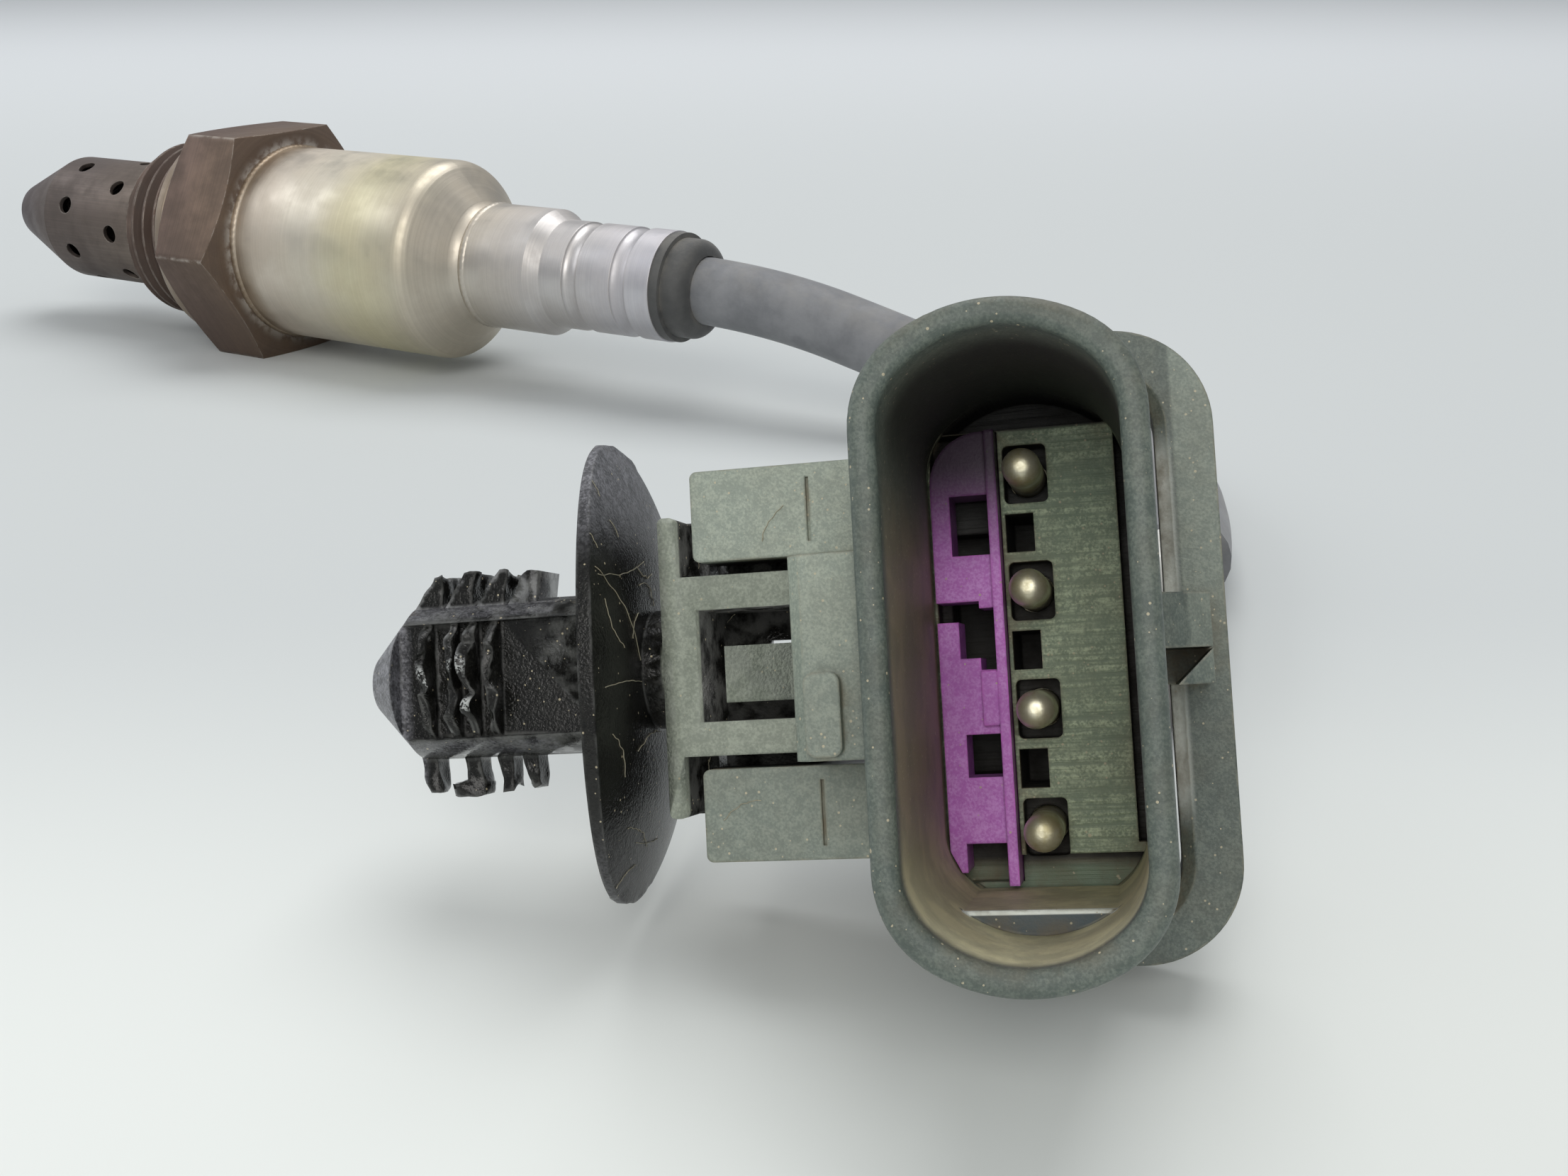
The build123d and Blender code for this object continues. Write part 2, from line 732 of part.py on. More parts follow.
with BuildPart() as plug_housing:
    with BuildSketch(at_depth(0)):
        add(shroud_outline)
    extrude(amount=-body_depth)
    with BuildSketch(at_depth(0)):
        add(cavity_outline)
    extrude(amount=-floor_depth, mode=Mode.SUBTRACT)
    rim_edges = plug_housing.faces().sort_by(Axis(plug.origin, plug.z_dir))[-1].edges()
    fillet(rim_edges, rim_round)
    # keying step that fills the bottom of the cavity behind the mouth
    with BuildSketch(at_depth(keying_step_depth)):
        add(shroud_outline)
        with Locations((0, shroud_height / 2 - keying_step_height)):
            Rectangle(shroud_width, shroud_height, mode=Mode.SUBTRACT)
    extrude(amount=keying_step_depth - floor_depth)
    # neck that carries the seals
    with BuildSketch(at_depth(body_depth)):
        add(neck_outline)
    extrude(amount=-neck_block_length)
    # guard loop round the latch
    add(guard.part)
    # latch lug that joins the guard to the shroud, with a ramp for the mating latch
    with BuildSketch(top_view(-lug_height / 2)):
        with BuildLine():
            Polyline(
                (guard_root + shroud_wall / 2, lug_front_depth),
                (guard_reach - guard_bar / 3, lug_front_depth + lug_ramp),
                (guard_reach - guard_bar / 3, guard_front_depth + guard_length),
                (guard_root + shroud_wall / 2, guard_front_depth + guard_length),
                close=True,
            )
        make_face()
    extrude(amount=lug_height)
    with BuildSketch(at_depth(lug_front_depth)):
        with BuildLine():
            Polyline(
                (shroud_width / 2, lug_notch_top),
                (shroud_width / 2 + lug_notch_reach, lug_notch_top),
                (shroud_width / 2, lug_notch_bottom),
                close=True,
            )
        make_face()
    extrude(amount=-(lug_ramp + lug_notch_depth), mode=Mode.SUBTRACT)
    # two rails for the mounting clip, slotted on their inner faces and cored from behind
    for side in (1, -1):
        rail_inner = side * rail_gap / 2
        rail_outer = rail_inner + side * rail_height
        slot_end = rail_inner + side * rail_slot_depth
        core_start = slot_end + side * rail_slot_wall
        core_end = rail_outer - side * rail_cap
        core_left = -rail_reach + rail_cap
        core_right = -shroud_width / 2 - rail_cap
        with BuildSketch(at_depth(rail_front_depth)):
            with Locations((-(rail_reach + rail_root) / 2, (rail_inner + rail_outer) / 2)):
                RectangleRounded(rail_reach - rail_root, rail_height, rail_corner)
        extrude(amount=-rail_length)
        with BuildSketch(side_view(-rail_reach)):
            with Locations((clip_middle, (rail_inner + slot_end) / 2)):
                Rectangle(rail_slot_width, rail_slot_depth)
        extrude(amount=rail_reach + rail_slot_end_x, mode=Mode.SUBTRACT)
        with BuildSketch(at_depth(rail_front_depth + rail_length)):
            with Locations(((core_left + core_right) / 2, (core_start + core_end) / 2)):
                Rectangle(core_right - core_left, abs(core_end - core_start))
        extrude(amount=rail_length - rail_cap, mode=Mode.SUBTRACT)
        with BuildSketch(at_depth(rail_front_depth)):
            with Locations((rail_groove_x, (rail_inner + rail_outer) / 2)):
                Rectangle(rail_groove, rail_height * 0.7)
        extrude(amount=-rail_groove, mode=Mode.SUBTRACT)
    # stop block that ends the clip's travel, with its pad
    with BuildSketch(top_view(-stop_height / 2)):
        with BuildLine():
            Polyline(
                (-rail_root, stop_front_depth),
                (-stop_reach + 0.5, stop_front_depth),
                (-stop_reach, stop_front_depth + 0.5),
                (-stop_reach, stop_front_depth + stop_length),
                (-rail_root, stop_front_depth + stop_length + 1),
                close=True,
            )
        make_face()
    extrude(amount=stop_height)
    pad_left, pad_right, pad_top, pad_bottom = stop_pad
    with BuildSketch(at_depth(stop_front_depth)):
        with Locations(((pad_left + pad_right) / 2, (pad_top + pad_bottom) / 2)):
            RectangleRounded(pad_right - pad_left, pad_top - pad_bottom, stop_pad_rise)
    extrude(amount=stop_pad_rise)
    # floor: recesses, contact bores, probe holes and the secondary lock's seat
    for height in pin_heights:
        with BuildSketch(at_depth(floor_depth, 0, height)):
            RectangleRounded(recess_width, recess_height, 0.25)
        extrude(amount=-recess_depth, mode=Mode.SUBTRACT)
        with BuildSketch(at_depth(floor_depth, 0, height)):
            Circle(pin_diameter / 2 + slip)
        extrude(amount=-floor_thickness, mode=Mode.SUBTRACT)
        with BuildSketch(at_depth(body_depth, 0, height)):
            Circle(pin_collar_diameter / 2 + slip)
        extrude(amount=-neck_block_length, mode=Mode.SUBTRACT)
        with BuildSketch(at_depth(neck_depth, 0, height)):
            Circle(seal_diameter / 2)
        extrude(amount=seal_length, mode=Mode.SUBTRACT)
    for lower, upper in zip(pin_heights, pin_heights[1:]):
        with BuildSketch(at_depth(floor_depth, probe_hole_x, (lower + upper) / 2)):
            Rectangle(probe_hole_width, probe_hole_height)
        extrude(amount=-probe_hole_depth, mode=Mode.SUBTRACT)
    with BuildSketch(at_depth(floor_depth)):
        with Locations(((lock_left + lock_right) / 2, (lock_top + lock_foot) / 2)):
            Rectangle(
                lock_right - lock_left + 2 * slip, lock_top - lock_foot + 2 * slip
            )
    extrude(amount=-lock_seat, mode=Mode.SUBTRACT)
    for left, right, top, bottom, depth in floor_pockets:
        with BuildSketch(at_depth(floor_depth)):
            add(cavity_outline)
            with Locations(((left + right) / 2, (top + bottom) / 2)):
                Rectangle(right - left, top - bottom, mode=Mode.INTERSECT)
        extrude(amount=-depth, mode=Mode.SUBTRACT)
    for left, right, top, bottom, depth in core_pockets:
        with BuildSketch(at_depth(floor_depth + lock_seat)):
            with Locations(((left + right) / 2, (top + bottom) / 2)):
                Rectangle(right - left, top - bottom)
        extrude(amount=-depth, mode=Mode.SUBTRACT)
save(plug_housing.part, "plug_housing")

# ---------------------------------------------------------------- contact pins and seals
pin_tip_depth = floor_depth - pin_proud
collar_end_depth = body_depth + pin_collar_length
wire_end_depth = neck_depth - seal_length - 1.0
for index, height in enumerate(pin_heights):
    with BuildPart() as contact_pin:
        with BuildSketch(top_view(height)) as pin_profile:
            with BuildLine():
                Polyline(
                    (0, pin_tip_depth),
                    (0, wire_end_depth),
                    (wire_diameter / 2, wire_end_depth),
                    (wire_diameter / 2, collar_end_depth),
                    (pin_collar_diameter / 2, collar_end_depth),
                    (pin_collar_diameter / 2, body_depth),
                    (pin_diameter / 2, body_depth),
                    (pin_diameter / 2, pin_tip_depth),
                    close=True,
                )
            make_face()
            nose_corner = pin_profile.vertices().sort_by_distance(
                (pin_diameter / 2, pin_tip_depth))[0]
            fillet(nose_corner, pin_nose)
        revolve(axis=Axis(plug.from_local_coords((0, height, 0)), plug.z_dir))
    save(contact_pin.part, "contact_pin_" + str(index + 1))

    seal_start = neck_depth - seal_length
    seal_ribs = 3
    rib_pitch = seal_length / seal_ribs
    with BuildPart() as wire_seal:
        with BuildSketch(top_view(height)):
            with Locations(((seal_diameter + wire_diameter) / 4 - slip / 2,
                            seal_start + seal_length / 2)):
                Rectangle((seal_diameter - wire_diameter) / 2 - 3 * slip, seal_length - 2 * slip)
            for gap in range(1, seal_ribs):
                with Locations((seal_diameter / 2 - 2 * slip, seal_start + gap * rib_pitch)):
                    RegularPolygon(rib_pitch * 0.3, 4, mode=Mode.SUBTRACT)
        revolve(axis=Axis(plug.from_local_coords((0, height, 0)), plug.z_dir))
    save(wire_seal.part, "wire_seal_" + str(index + 1))

# ---------------------------------------------------------------- rear cover
cover_start = neck_depth - cover_lap
cover_end = neck_depth + cover_plate
with BuildPart() as rear_cover:
    with BuildSketch(at_depth(cover_start)):
        add(cover_outline)
    extrude(amount=cover_start - cover_end)
    cover_rim = rear_cover.faces().sort_by(Axis(plug.origin, plug.z_dir))[0].edges()
    fillet(cover_rim, 0.5)
    with BuildSketch(at_depth(cover_start)):
        add(cover_inside)
    extrude(amount=-cover_lap, mode=Mode.SUBTRACT)
    for height in pin_heights:
        with BuildSketch(at_depth(cover_start, 0, height)):
            Circle(wire_diameter / 2 + slip)
        extrude(amount=cover_start - cover_end, mode=Mode.SUBTRACT)
save(rear_cover.part, "rear_cover")

# ---------------------------------------------------------------- secondary lock
lock_front = floor_depth - lock_proud
with BuildPart() as secondary_lock:
    with BuildSketch(at_depth(lock_front)):
        with BuildLine():
            Line((lock_left, lock_top - lock_corner), (lock_left, lock_short_foot + lock_claw))
            Line((lock_left, lock_short_foot + lock_claw),
                 (lock_left + lock_claw / 2, lock_short_foot))
            Line((lock_left + lock_claw / 2, lock_short_foot), (lock_step_x, lock_short_foot))
            Line((lock_step_x, lock_short_foot), (lock_step_x, lock_foot))
            Line((lock_step_x, lock_foot), (lock_right, lock_foot))
            Line((lock_right, lock_foot), (lock_right, lock_top))
            Line((lock_right, lock_top), (lock_left + lock_corner, lock_top))
            RadiusArc((lock_left + lock_corner, lock_top), (lock_left, lock_top - lock_corner),
                      -lock_corner)
        make_face()
        for left, right, top, bottom in lock_windows:
            with Locations(((left + right) / 2, (top + bottom) / 2)):
                Rectangle(right - left, top - bottom, mode=Mode.SUBTRACT)
    extrude(amount=-(lock_proud + lock_seat - slip))
    # rail along the pins and the raised tab in the middle bar
    tab_left, tab_right, tab_top, tab_bottom = lock_tab
    with BuildSketch(at_depth(lock_front)):
        with Locations((lock_right - lock_rail_width / 2, (lock_top + lock_foot) / 2)):
            Rectangle(lock_rail_width, lock_top - lock_foot)
    extrude(amount=lock_rail_rise)
    with BuildSketch(at_depth(lock_front)):
        with Locations(((tab_left + tab_right) / 2, (tab_top + tab_bottom) / 2)):
            Rectangle(tab_right - tab_left, tab_top - tab_bottom)
    extrude(amount=lock_rail_rise * 0.7)
save(secondary_lock.part, "secondary_lock")

# ---------------------------------------------------------------- mounting clip
stud_axis = Axis(plug.from_local_coords((0, 0, -clip_middle)), plug.x_dir)
pocket_end_x = disc_face_x - disc_dish - disc_edge
with BuildPart() as stud_ribs:
    for rib_x in stud_rib_x:
        with BuildSketch(side_view(rib_x)):
            with Locations((clip_middle, 0)):
                Circle(stud_diameter / 2 - seat_gap)
                Rectangle(2 * stud_rib_reach, stud_diameter, mode=Mode.INTERSECT)
        extrude(amount=stud_rib_thickness)

with BuildPart() as mounting_clip:
    # dished oval disc
    with BuildSketch(top_view(0)):
        with BuildLine():
            Line((disc_face_x, clip_middle), (disc_face_x, clip_middle + disc_hub_diameter / 2))
            RadiusArc((disc_face_x, clip_middle + disc_hub_diameter / 2),
                      (disc_face_x - disc_dish, clip_middle + disc_height / 2), -disc_height)
            Line((disc_face_x - disc_dish, clip_middle + disc_height / 2),
                 (disc_face_x - disc_dish - disc_edge, clip_middle + disc_height / 2))
            RadiusArc((disc_face_x - disc_dish - disc_edge, clip_middle + disc_height / 2),
                      (disc_face_x - disc_thickness, clip_middle + disc_hub_diameter / 2),
                      disc_height)
            Line((disc_face_x - disc_thickness, clip_middle + disc_hub_diameter / 2),
                 (disc_face_x - disc_thickness, clip_middle))
            Line((disc_face_x - disc_thickness, clip_middle), (disc_face_x, clip_middle))
        make_face()
    revolve(axis=stud_axis)
    with BuildSketch(side_view(stud_tip_x)):
        with Locations((clip_middle, 0)):
            Ellipse(disc_width / 2, disc_height / 2)
    extrude(amount=-stud_tip_x, mode=Mode.INTERSECT)
    # stud with its cone nose, and the hub that joins disc and frame
    with BuildSketch(top_view(0)):
        with BuildLine():
            Polyline(
                (-clip_bar_reach + clip_bar_lip / 2, clip_middle),
                (-clip_bar_reach + clip_bar_lip / 2, clip_middle + hub_neck_diameter / 2),
                (disc_face_x, clip_middle + hub_neck_diameter / 2),
                (disc_face_x - disc_thickness, clip_middle + stud_diameter / 2),
                (stud_shoulder_x, clip_middle + stud_diameter / 2),
                (stud_tip_x, clip_middle + stud_tip_diameter / 2),
                (stud_tip_x, clip_middle),
                close=True,
            )
        make_face()
    revolve(axis=stud_axis)
    # pockets that leave a web along the stud, with ribs across them
    for face_depth in (clip_middle + stud_web / 2, clip_middle - stud_web / 2 - stud_diameter):
        with BuildSketch(at_depth(face_depth)):
            with Locations(((pocket_end_x + stud_pocket_x) / 2, 0)):
                Rectangle(pocket_end_x - stud_pocket_x, stud_pocket_height)
        extrude(amount=-stud_diameter, mode=Mode.SUBTRACT)
    add(stud_ribs.part)
    # leaning fins on top of the stud and slim legs below it
    for fin_x in top_fin_x:
        with BuildSketch(at_depth(clip_middle - top_fin_width / 2)):
            with BuildLine():
                Polyline(*[(fin_x + along, away) for along, away in top_fin_outline], close=True)
            make_face()
        extrude(amount=-top_fin_width)
    for number, fin_x in enumerate(leg_x):
        with BuildSketch(at_depth(clip_middle - leg_width / 2)):
            with BuildLine():
                Polyline(*[(fin_x + along, away) for along, away in leg_outline], close=True)
            make_face()
            if number == bent_leg:
                foot_left = fin_x + leg_outline[1][0] - leg_foot
                foot_right = fin_x + leg_outline[2][0]
                foot_middle = leg_outline[1][1] + leg_foot_thickness / 2
                with Locations(((foot_left + foot_right) / 2, foot_middle)):
                    Rectangle(foot_right - foot_left, leg_foot_thickness)
        extrude(amount=-leg_width)
    # frame that slides between the rails, with a flange in each rail's slot
    window_left = -clip_bar_reach + clip_bar_thickness
    window_right = clip_end_x - clip_web
    with BuildSketch(at_depth(clip_front_depth)):
        with Locations((-clip_bar_reach + clip_bar_lip / 2, 0)):
            RectangleRounded(clip_bar_lip, clip_bar_height, clip_corner)
        with Locations(((clip_end_x - clip_bar_reach + clip_bar_lip / 2) / 2, 0)):
            Rectangle(clip_end_x + clip_bar_reach - clip_bar_lip / 2, 2 * clip_arm_outer)
    extrude(amount=-clip_length)
    with BuildSketch(at_depth(clip_front_depth + clip_notch_depth)):
        with Locations((-clip_bar_reach + clip_bar_thickness / 2, 0)):
            RectangleRounded(clip_bar_thickness, clip_bar_height, clip_corner)
    extrude(amount=clip_notch_depth - clip_length)
    with BuildSketch(at_depth(clip_middle - rail_slot_width / 2 + seat_gap)):
        with Locations((clip_end_x - seat_gap - flange_length / 2, 0)):
            Rectangle(flange_length, rail_gap + 2 * rail_slot_depth - 2 * seat_gap)
    extrude(amount=-(rail_slot_width - 2 * seat_gap))
    with BuildSketch(at_depth(clip_front_depth)):
        with Locations(((window_left + window_right) / 2, 0)):
            Rectangle(window_right - window_left, 2 * clip_arm_inner)
    extrude(amount=-(clip_length - clip_back), mode=Mode.SUBTRACT)
    # snap finger in the frame's window, with a slit over it
    with BuildSketch(at_depth(clip_front_depth + 0.3)):
        with Locations(((window_right - finger_reach) / 2, finger_y)):
            Rectangle(window_right + finger_reach, finger_height)
    extrude(amount=-finger_thickness)
    with BuildSketch(at_depth(clip_front_depth)):
        with Locations((-finger_reach + clip_slit_length,
                        finger_y + finger_height / 2 + clip_slit / 2)):
            Rectangle(clip_slit_length, clip_slit)
    extrude(amount=-clip_length, mode=Mode.SUBTRACT)
save(mounting_clip.part, "mounting_clip")

# ---------------------------------------------------------------- lead
save(cord_between(jacket_points, jacket_diameter, "cable_jacket"), "cable_jacket")

lead_end = Vector(*jacket_points[-1])
lead_way = (lead_end - Vector(*jacket_points[-2])).normalized()
lead_side = lead_way.cross(Vector(0, 0, 1))
for index, height in enumerate(pin_heights):
    side, level = wire_corner[index]
    tail = lead_end + lead_side * (side * wire_offset) + Vector(0, 0, level * wire_offset)
    exit_point = plug.from_local_coords((0, height, -wire_exit_depth[index]))
    crimp_point = plug.from_local_coords((0, height, -wire_end_depth))
    route = [crimp_point, exit_point, Vector(*wire_middle[index]), tail + lead_way * wire_lead_in,
             tail]
    name = "wire_" + str(index + 1)
    save(cord_between([tuple(point) for point in route], wire_diameter, name), name)
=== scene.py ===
import logging
import math
from dataclasses import dataclass, field
from enum import Enum
from typing import Sequence

import bmesh
import bpy
from mathutils import Matrix, Vector, noise
from mathutils.bvhtree import BVHTree


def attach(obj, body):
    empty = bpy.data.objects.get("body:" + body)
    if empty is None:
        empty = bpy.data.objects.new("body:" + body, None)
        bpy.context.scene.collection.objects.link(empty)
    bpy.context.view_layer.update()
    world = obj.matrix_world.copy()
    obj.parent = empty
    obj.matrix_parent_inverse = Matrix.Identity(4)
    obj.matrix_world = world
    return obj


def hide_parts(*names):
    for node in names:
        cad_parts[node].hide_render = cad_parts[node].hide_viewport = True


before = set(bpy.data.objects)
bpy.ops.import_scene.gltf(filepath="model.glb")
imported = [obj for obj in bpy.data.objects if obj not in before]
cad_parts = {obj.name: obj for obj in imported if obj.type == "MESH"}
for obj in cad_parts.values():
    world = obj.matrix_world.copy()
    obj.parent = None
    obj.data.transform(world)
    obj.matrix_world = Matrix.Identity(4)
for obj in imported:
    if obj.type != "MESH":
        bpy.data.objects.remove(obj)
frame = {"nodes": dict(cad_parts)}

# Looks of a four-wire exhaust oxygen sensor with its lead, plug and mounting clip.
# Everything is in metres in the frame of the solids: +X runs along the sensor to
# its lead, +Z is up and the floor is at the underside of the hexagon.

log = logging.getLogger("sensor")
MM = 0.001
MERGE = 2e-6                    # vertices nearer than this are one
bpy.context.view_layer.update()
Point = Sequence[float]
Span = tuple[float, float]      # two places on one axis; the plug's are in its millimetres
Strand = tuple[float, float, float, float, float]
Socket, Node = bpy.types.NodeSocket, bpy.types.Node
Material, Piece, Form = bpy.types.Material, bpy.types.Object, bmesh.types.BMesh
Value, Paint = float | Socket, Point | Socket
Look, Layers = tuple[Socket, Value], list[tuple[Socket, Paint]]


class Motion(Enum):
    """How the marks of a turned or drawn finish are stretched."""

    ROUND = {"Along": 9000.0, "Across": 60.0}       # turned, so they go round the X axis
    ALONG = {"Along": 80.0, "Across": 6500.0}       # drawn, so they run along it


# ------------------------------------------------------------------- node helpers
class Graph:
    """A node tree that is being filled.

    Args:
        tree: The material's or group's node tree.
    """

    def __init__(self, tree: bpy.types.NodeTree) -> None:
        """Keeps the tree."""
        self.tree = tree

    def add(self, kind: str, inputs: dict | None = None, **settings: object) -> Node:
        """Adds one node.

        Args:
            kind: Node type without the ShaderNode prefix.
            inputs: Socket name or index to a value or to a socket that feeds it.
            settings: Properties of the node.

        Returns:
            The node.
        """
        node = self.tree.nodes.new("ShaderNode" + kind)
        for name, value in settings.items():
            setattr(node, name, value)
        for key, value in (inputs or {}).items():
            if isinstance(value, Socket):
                self.tree.links.new(value, node.inputs[key])
            else:
                node.inputs[key].default_value = value
        return node

    def math(self, operation: str, *values: Value, clamp: bool = False) -> Socket:
        """Math node on up to three values or sockets, giving its result."""
        node = self.add("Math", dict(enumerate(values)), operation=operation, use_clamp=clamp)
        return node.outputs[0]

    def times(self, first: Value, *others: Value) -> Socket:
        """Product of two or more values or sockets."""
        for other in others:
            first = self.math("MULTIPLY", first, other)
        return first

    def place(self) -> Socket:
        """Position on the piece, in metres."""
        return self.add("TexCoord").outputs["Object"]

    def remap(self, value: Value, low: float, high: float, start: float = 0.0,
              end: float = 1.0) -> Socket:
        """Smooth step of a value from low..high to start..end."""
        node = self.add(
            "MapRange",
            {"Value": value, "From Min": low, "From Max": high, "To Min": start, "To Max": end},
            interpolation_type="SMOOTHSTEP",
        )
        return node.outputs[0]

    def blend(self, factor: Value, first: Paint, second: Paint, mode: str = "MIX") -> Socket:
        """Mix of two colours by a factor."""
        node = self.add("Mix", data_type="RGBA", blend_type=mode, clamp_factor=True)
        for index, value in ((0, factor), (6, first), (7, second)):
            if isinstance(value, Socket):
                self.tree.links.new(value, node.inputs[index])
            elif index:
                node.inputs[index].default_value = rgba(value)
            else:
                node.inputs[index].default_value = value
        return node.outputs[2]

    def noise(self, vector: Socket, scale: Value, detail: float = 3.0,
              roughness: float = 0.5) -> Socket:
        """Noise value at a vector."""
        node = self.add("TexNoise", {"Vector": vector, "Scale": scale, "Detail": detail,
                                     "Roughness": roughness})
        return node.outputs[0]

    def band(self, value: Value, low: float, high: float, soft: float) -> Socket:
        """One where a value lies in low..high, falling to nothing over a soft border."""
        rise = self.remap(value, low - soft, low + soft)
        fall = self.remap(value, high - soft, high + soft, 1.0, 0.0)
        return self.times(rise, fall)

    def axis(self, vector: Socket, name: str) -> Socket:
        """One axis of a vector."""
        return self.add("SeparateXYZ", {0: vector}).outputs[name]


def rgba(colour: Point) -> tuple[float, ...]:
    """Colour with a full alpha."""
    return tuple(colour[:3]) + (1.0,)


def new_group(name: str, inputs: dict[str, float],
              outputs: dict[str, str]) -> tuple[Graph, Node, Node]:
    """Starts a shader node group.

    Args:
        name: Name of the group.
        inputs: Float input names with their usual values.
        outputs: Output names with their socket kinds, Float or Vector or Color.

    Returns:
        The group's graph, its input node and its output node.
    """
    tree = bpy.data.node_groups.new(name, "ShaderNodeTree")
    for label, value in inputs.items():
        socket = tree.interface.new_socket(label, in_out="INPUT", socket_type="NodeSocketFloat")
        socket.default_value = value
    for label, kind in outputs.items():
        tree.interface.new_socket(label, in_out="OUTPUT", socket_type="NodeSocket" + kind)
    start = tree.nodes.new("NodeGroupInput")
    end = tree.nodes.new("NodeGroupOutput")
    return Graph(tree), start, end


@dataclass(frozen=True)
class PlugPlace:
    """Where the plug lies: local x is its width, y its height, z points out of its mouth."""

    origin: Point = (0.1143, -0.074, 0.00825)
    yaw: float = 13.75
    nose_up: float = 25.67
    roll: float = 9.38

    def matrix(self) -> Matrix:
        """Turns plug millimetres (x, y, z) into the shared frame in metres."""
        yaw, nose_up, roll = (math.radians(v) for v in (self.yaw, self.nose_up, self.roll))
        mouth = Vector((math.sin(yaw) * math.cos(nose_up), -math.cos(yaw) * math.cos(nose_up),
                        math.sin(nose_up)))
        level = Vector((math.cos(yaw), math.sin(yaw), 0))
        across = level * math.cos(roll) + mouth.cross(level) * math.sin(roll)
        up = mouth.cross(across)
        turn = Matrix((across, up, mouth)).transposed().to_4x4()
        return Matrix.Translation(self.origin) @ turn @ Matrix.Scale(MM, 4)


PLUG = PlugPlace().matrix()


@dataclass
class EffectLibrary:
    """Node groups that several finishes share."""

    groups: dict[str, bpy.types.NodeTree] = field(default_factory=dict)

    def build(self) -> None:
        """Builds every shared group once."""
        makers = (self.grain, self.specks, self.settled_dust, self.soft_edge, self.tool_marks,
                  self.blotches, self.plug_space)
        self.groups = {make.__name__: make() for make in makers}

    def grain(self) -> bpy.types.NodeTree:
        """Eroded mould texture of fine plastic: a height and a light-dark mask."""
        graph, start, end = new_group(
            "grain", {"Scale": 9000.0}, {"Height": "Float", "Mask": "Float"})
        place, scale = graph.place(), start.outputs["Scale"]
        fine = graph.noise(place, scale, 2.0, 0.6)
        broad = graph.noise(place, graph.times(scale, 0.23), 2.0, 0.6)
        height = graph.math("ADD", graph.times(fine, 0.6), graph.times(broad, 0.4))
        graph.tree.links.new(height, end.inputs["Height"])
        graph.tree.links.new(graph.remap(height, 0.38, 0.66), end.inputs["Mask"])
        return graph.tree

    def specks(self) -> bpy.types.NodeTree:
        """Sparse round specks of dirt."""
        graph, start, end = new_group(
            "specks", {"Scale": 5200.0, "Amount": 0.2, "Size": 0.3}, {"Mask": "Float"})
        place = graph.place()
        cells = graph.add("TexVoronoi", {"Vector": place, "Scale": start.outputs["Scale"]})
        chance = graph.axis(cells.outputs["Color"], "X")
        size = graph.times(start.outputs["Size"], graph.axis(cells.outputs["Color"], "Y"))
        near = graph.math("LESS_THAN", cells.outputs["Distance"], size)
        chosen = graph.math("LESS_THAN", chance, start.outputs["Amount"])
        graph.tree.links.new(graph.times(near, chosen), end.inputs["Mask"])
        return graph.tree

    def settled_dust(self) -> bpy.types.NodeTree:
        """Dust that lies on upward faces and in corners."""
        graph, start, end = new_group(
            "settled_dust", {"Top": 0.5, "Corners": 0.7, "Reach": 0.0015}, {"Mask": "Float"})
        place = graph.place()
        up = graph.axis(graph.add("NewGeometry").outputs["Normal"], "Z")
        top = graph.times(graph.remap(up, 0.1, 0.95), start.outputs["Top"])
        shade = graph.add("AmbientOcclusion", {"Distance": start.outputs["Reach"]}, samples=6)
        corner = graph.remap(shade.outputs["AO"], 0.85, 0.35)
        corner = graph.times(corner, start.outputs["Corners"])
        patch = graph.remap(graph.noise(place, 420.0, 5.0, 0.65), 0.35, 0.68)
        both = graph.math("ADD", top, corner)
        graph.tree.links.new(graph.math("MULTIPLY", both, patch, clamp=True), end.inputs["Mask"])
        return graph.tree

    def soft_edge(self) -> bpy.types.NodeTree:
        """Rounded look of moulded edges, and a patchy mask along them: worn edges on most finishes,
        a painted highlight on the clip.
        """
        graph, start, end = new_group(
            "soft_edge", {"Radius": 0.00018}, {"Normal": "Vector", "Mask": "Float"})
        place = graph.place()
        bevel = graph.add("Bevel", {"Radius": start.outputs["Radius"]}, samples=4)
        flat = graph.add("NewGeometry").outputs["True Normal"]
        same = graph.add("VectorMath", {0: bevel.outputs[0], 1: flat}, operation="DOT_PRODUCT")
        edge = graph.remap(same.outputs["Value"], 0.985, 0.86)
        patch = graph.remap(graph.noise(place, 900.0, 4.0, 0.6), 0.38, 0.62)
        graph.tree.links.new(bevel.outputs[0], end.inputs["Normal"])
        graph.tree.links.new(graph.times(edge, patch), end.inputs["Mask"])
        return graph.tree

    def tool_marks(self) -> bpy.types.NodeTree:
        """Fine lines left by turning or drawing, given a stretched position."""
        graph, start, end = new_group("tool_marks", Motion.ROUND.value, {"Height": "Float"})
        place = graph.place()
        parts = graph.add("SeparateXYZ", {0: place})
        scaled = graph.add("CombineXYZ", {
            0: graph.times(parts.outputs[0], start.outputs["Along"]),
            1: graph.times(parts.outputs[1], start.outputs["Across"]),
            2: graph.times(parts.outputs[2], start.outputs["Across"]),
        })
        graph.tree.links.new(graph.noise(scaled.outputs[0], 1.0, 3.0, 0.55), end.inputs["Height"])
        return graph.tree

    def blotches(self) -> bpy.types.NodeTree:
        """Broad uneven patches, as heat or handling leaves them."""
        graph, start, end = new_group("blotches", {"Scale": 180.0}, {"Mask": "Float"})
        place = graph.place()
        value = graph.noise(place, start.outputs["Scale"], 6.0, 0.62)
        graph.tree.links.new(graph.remap(value, 0.34, 0.68), end.inputs["Mask"])
        return graph.tree

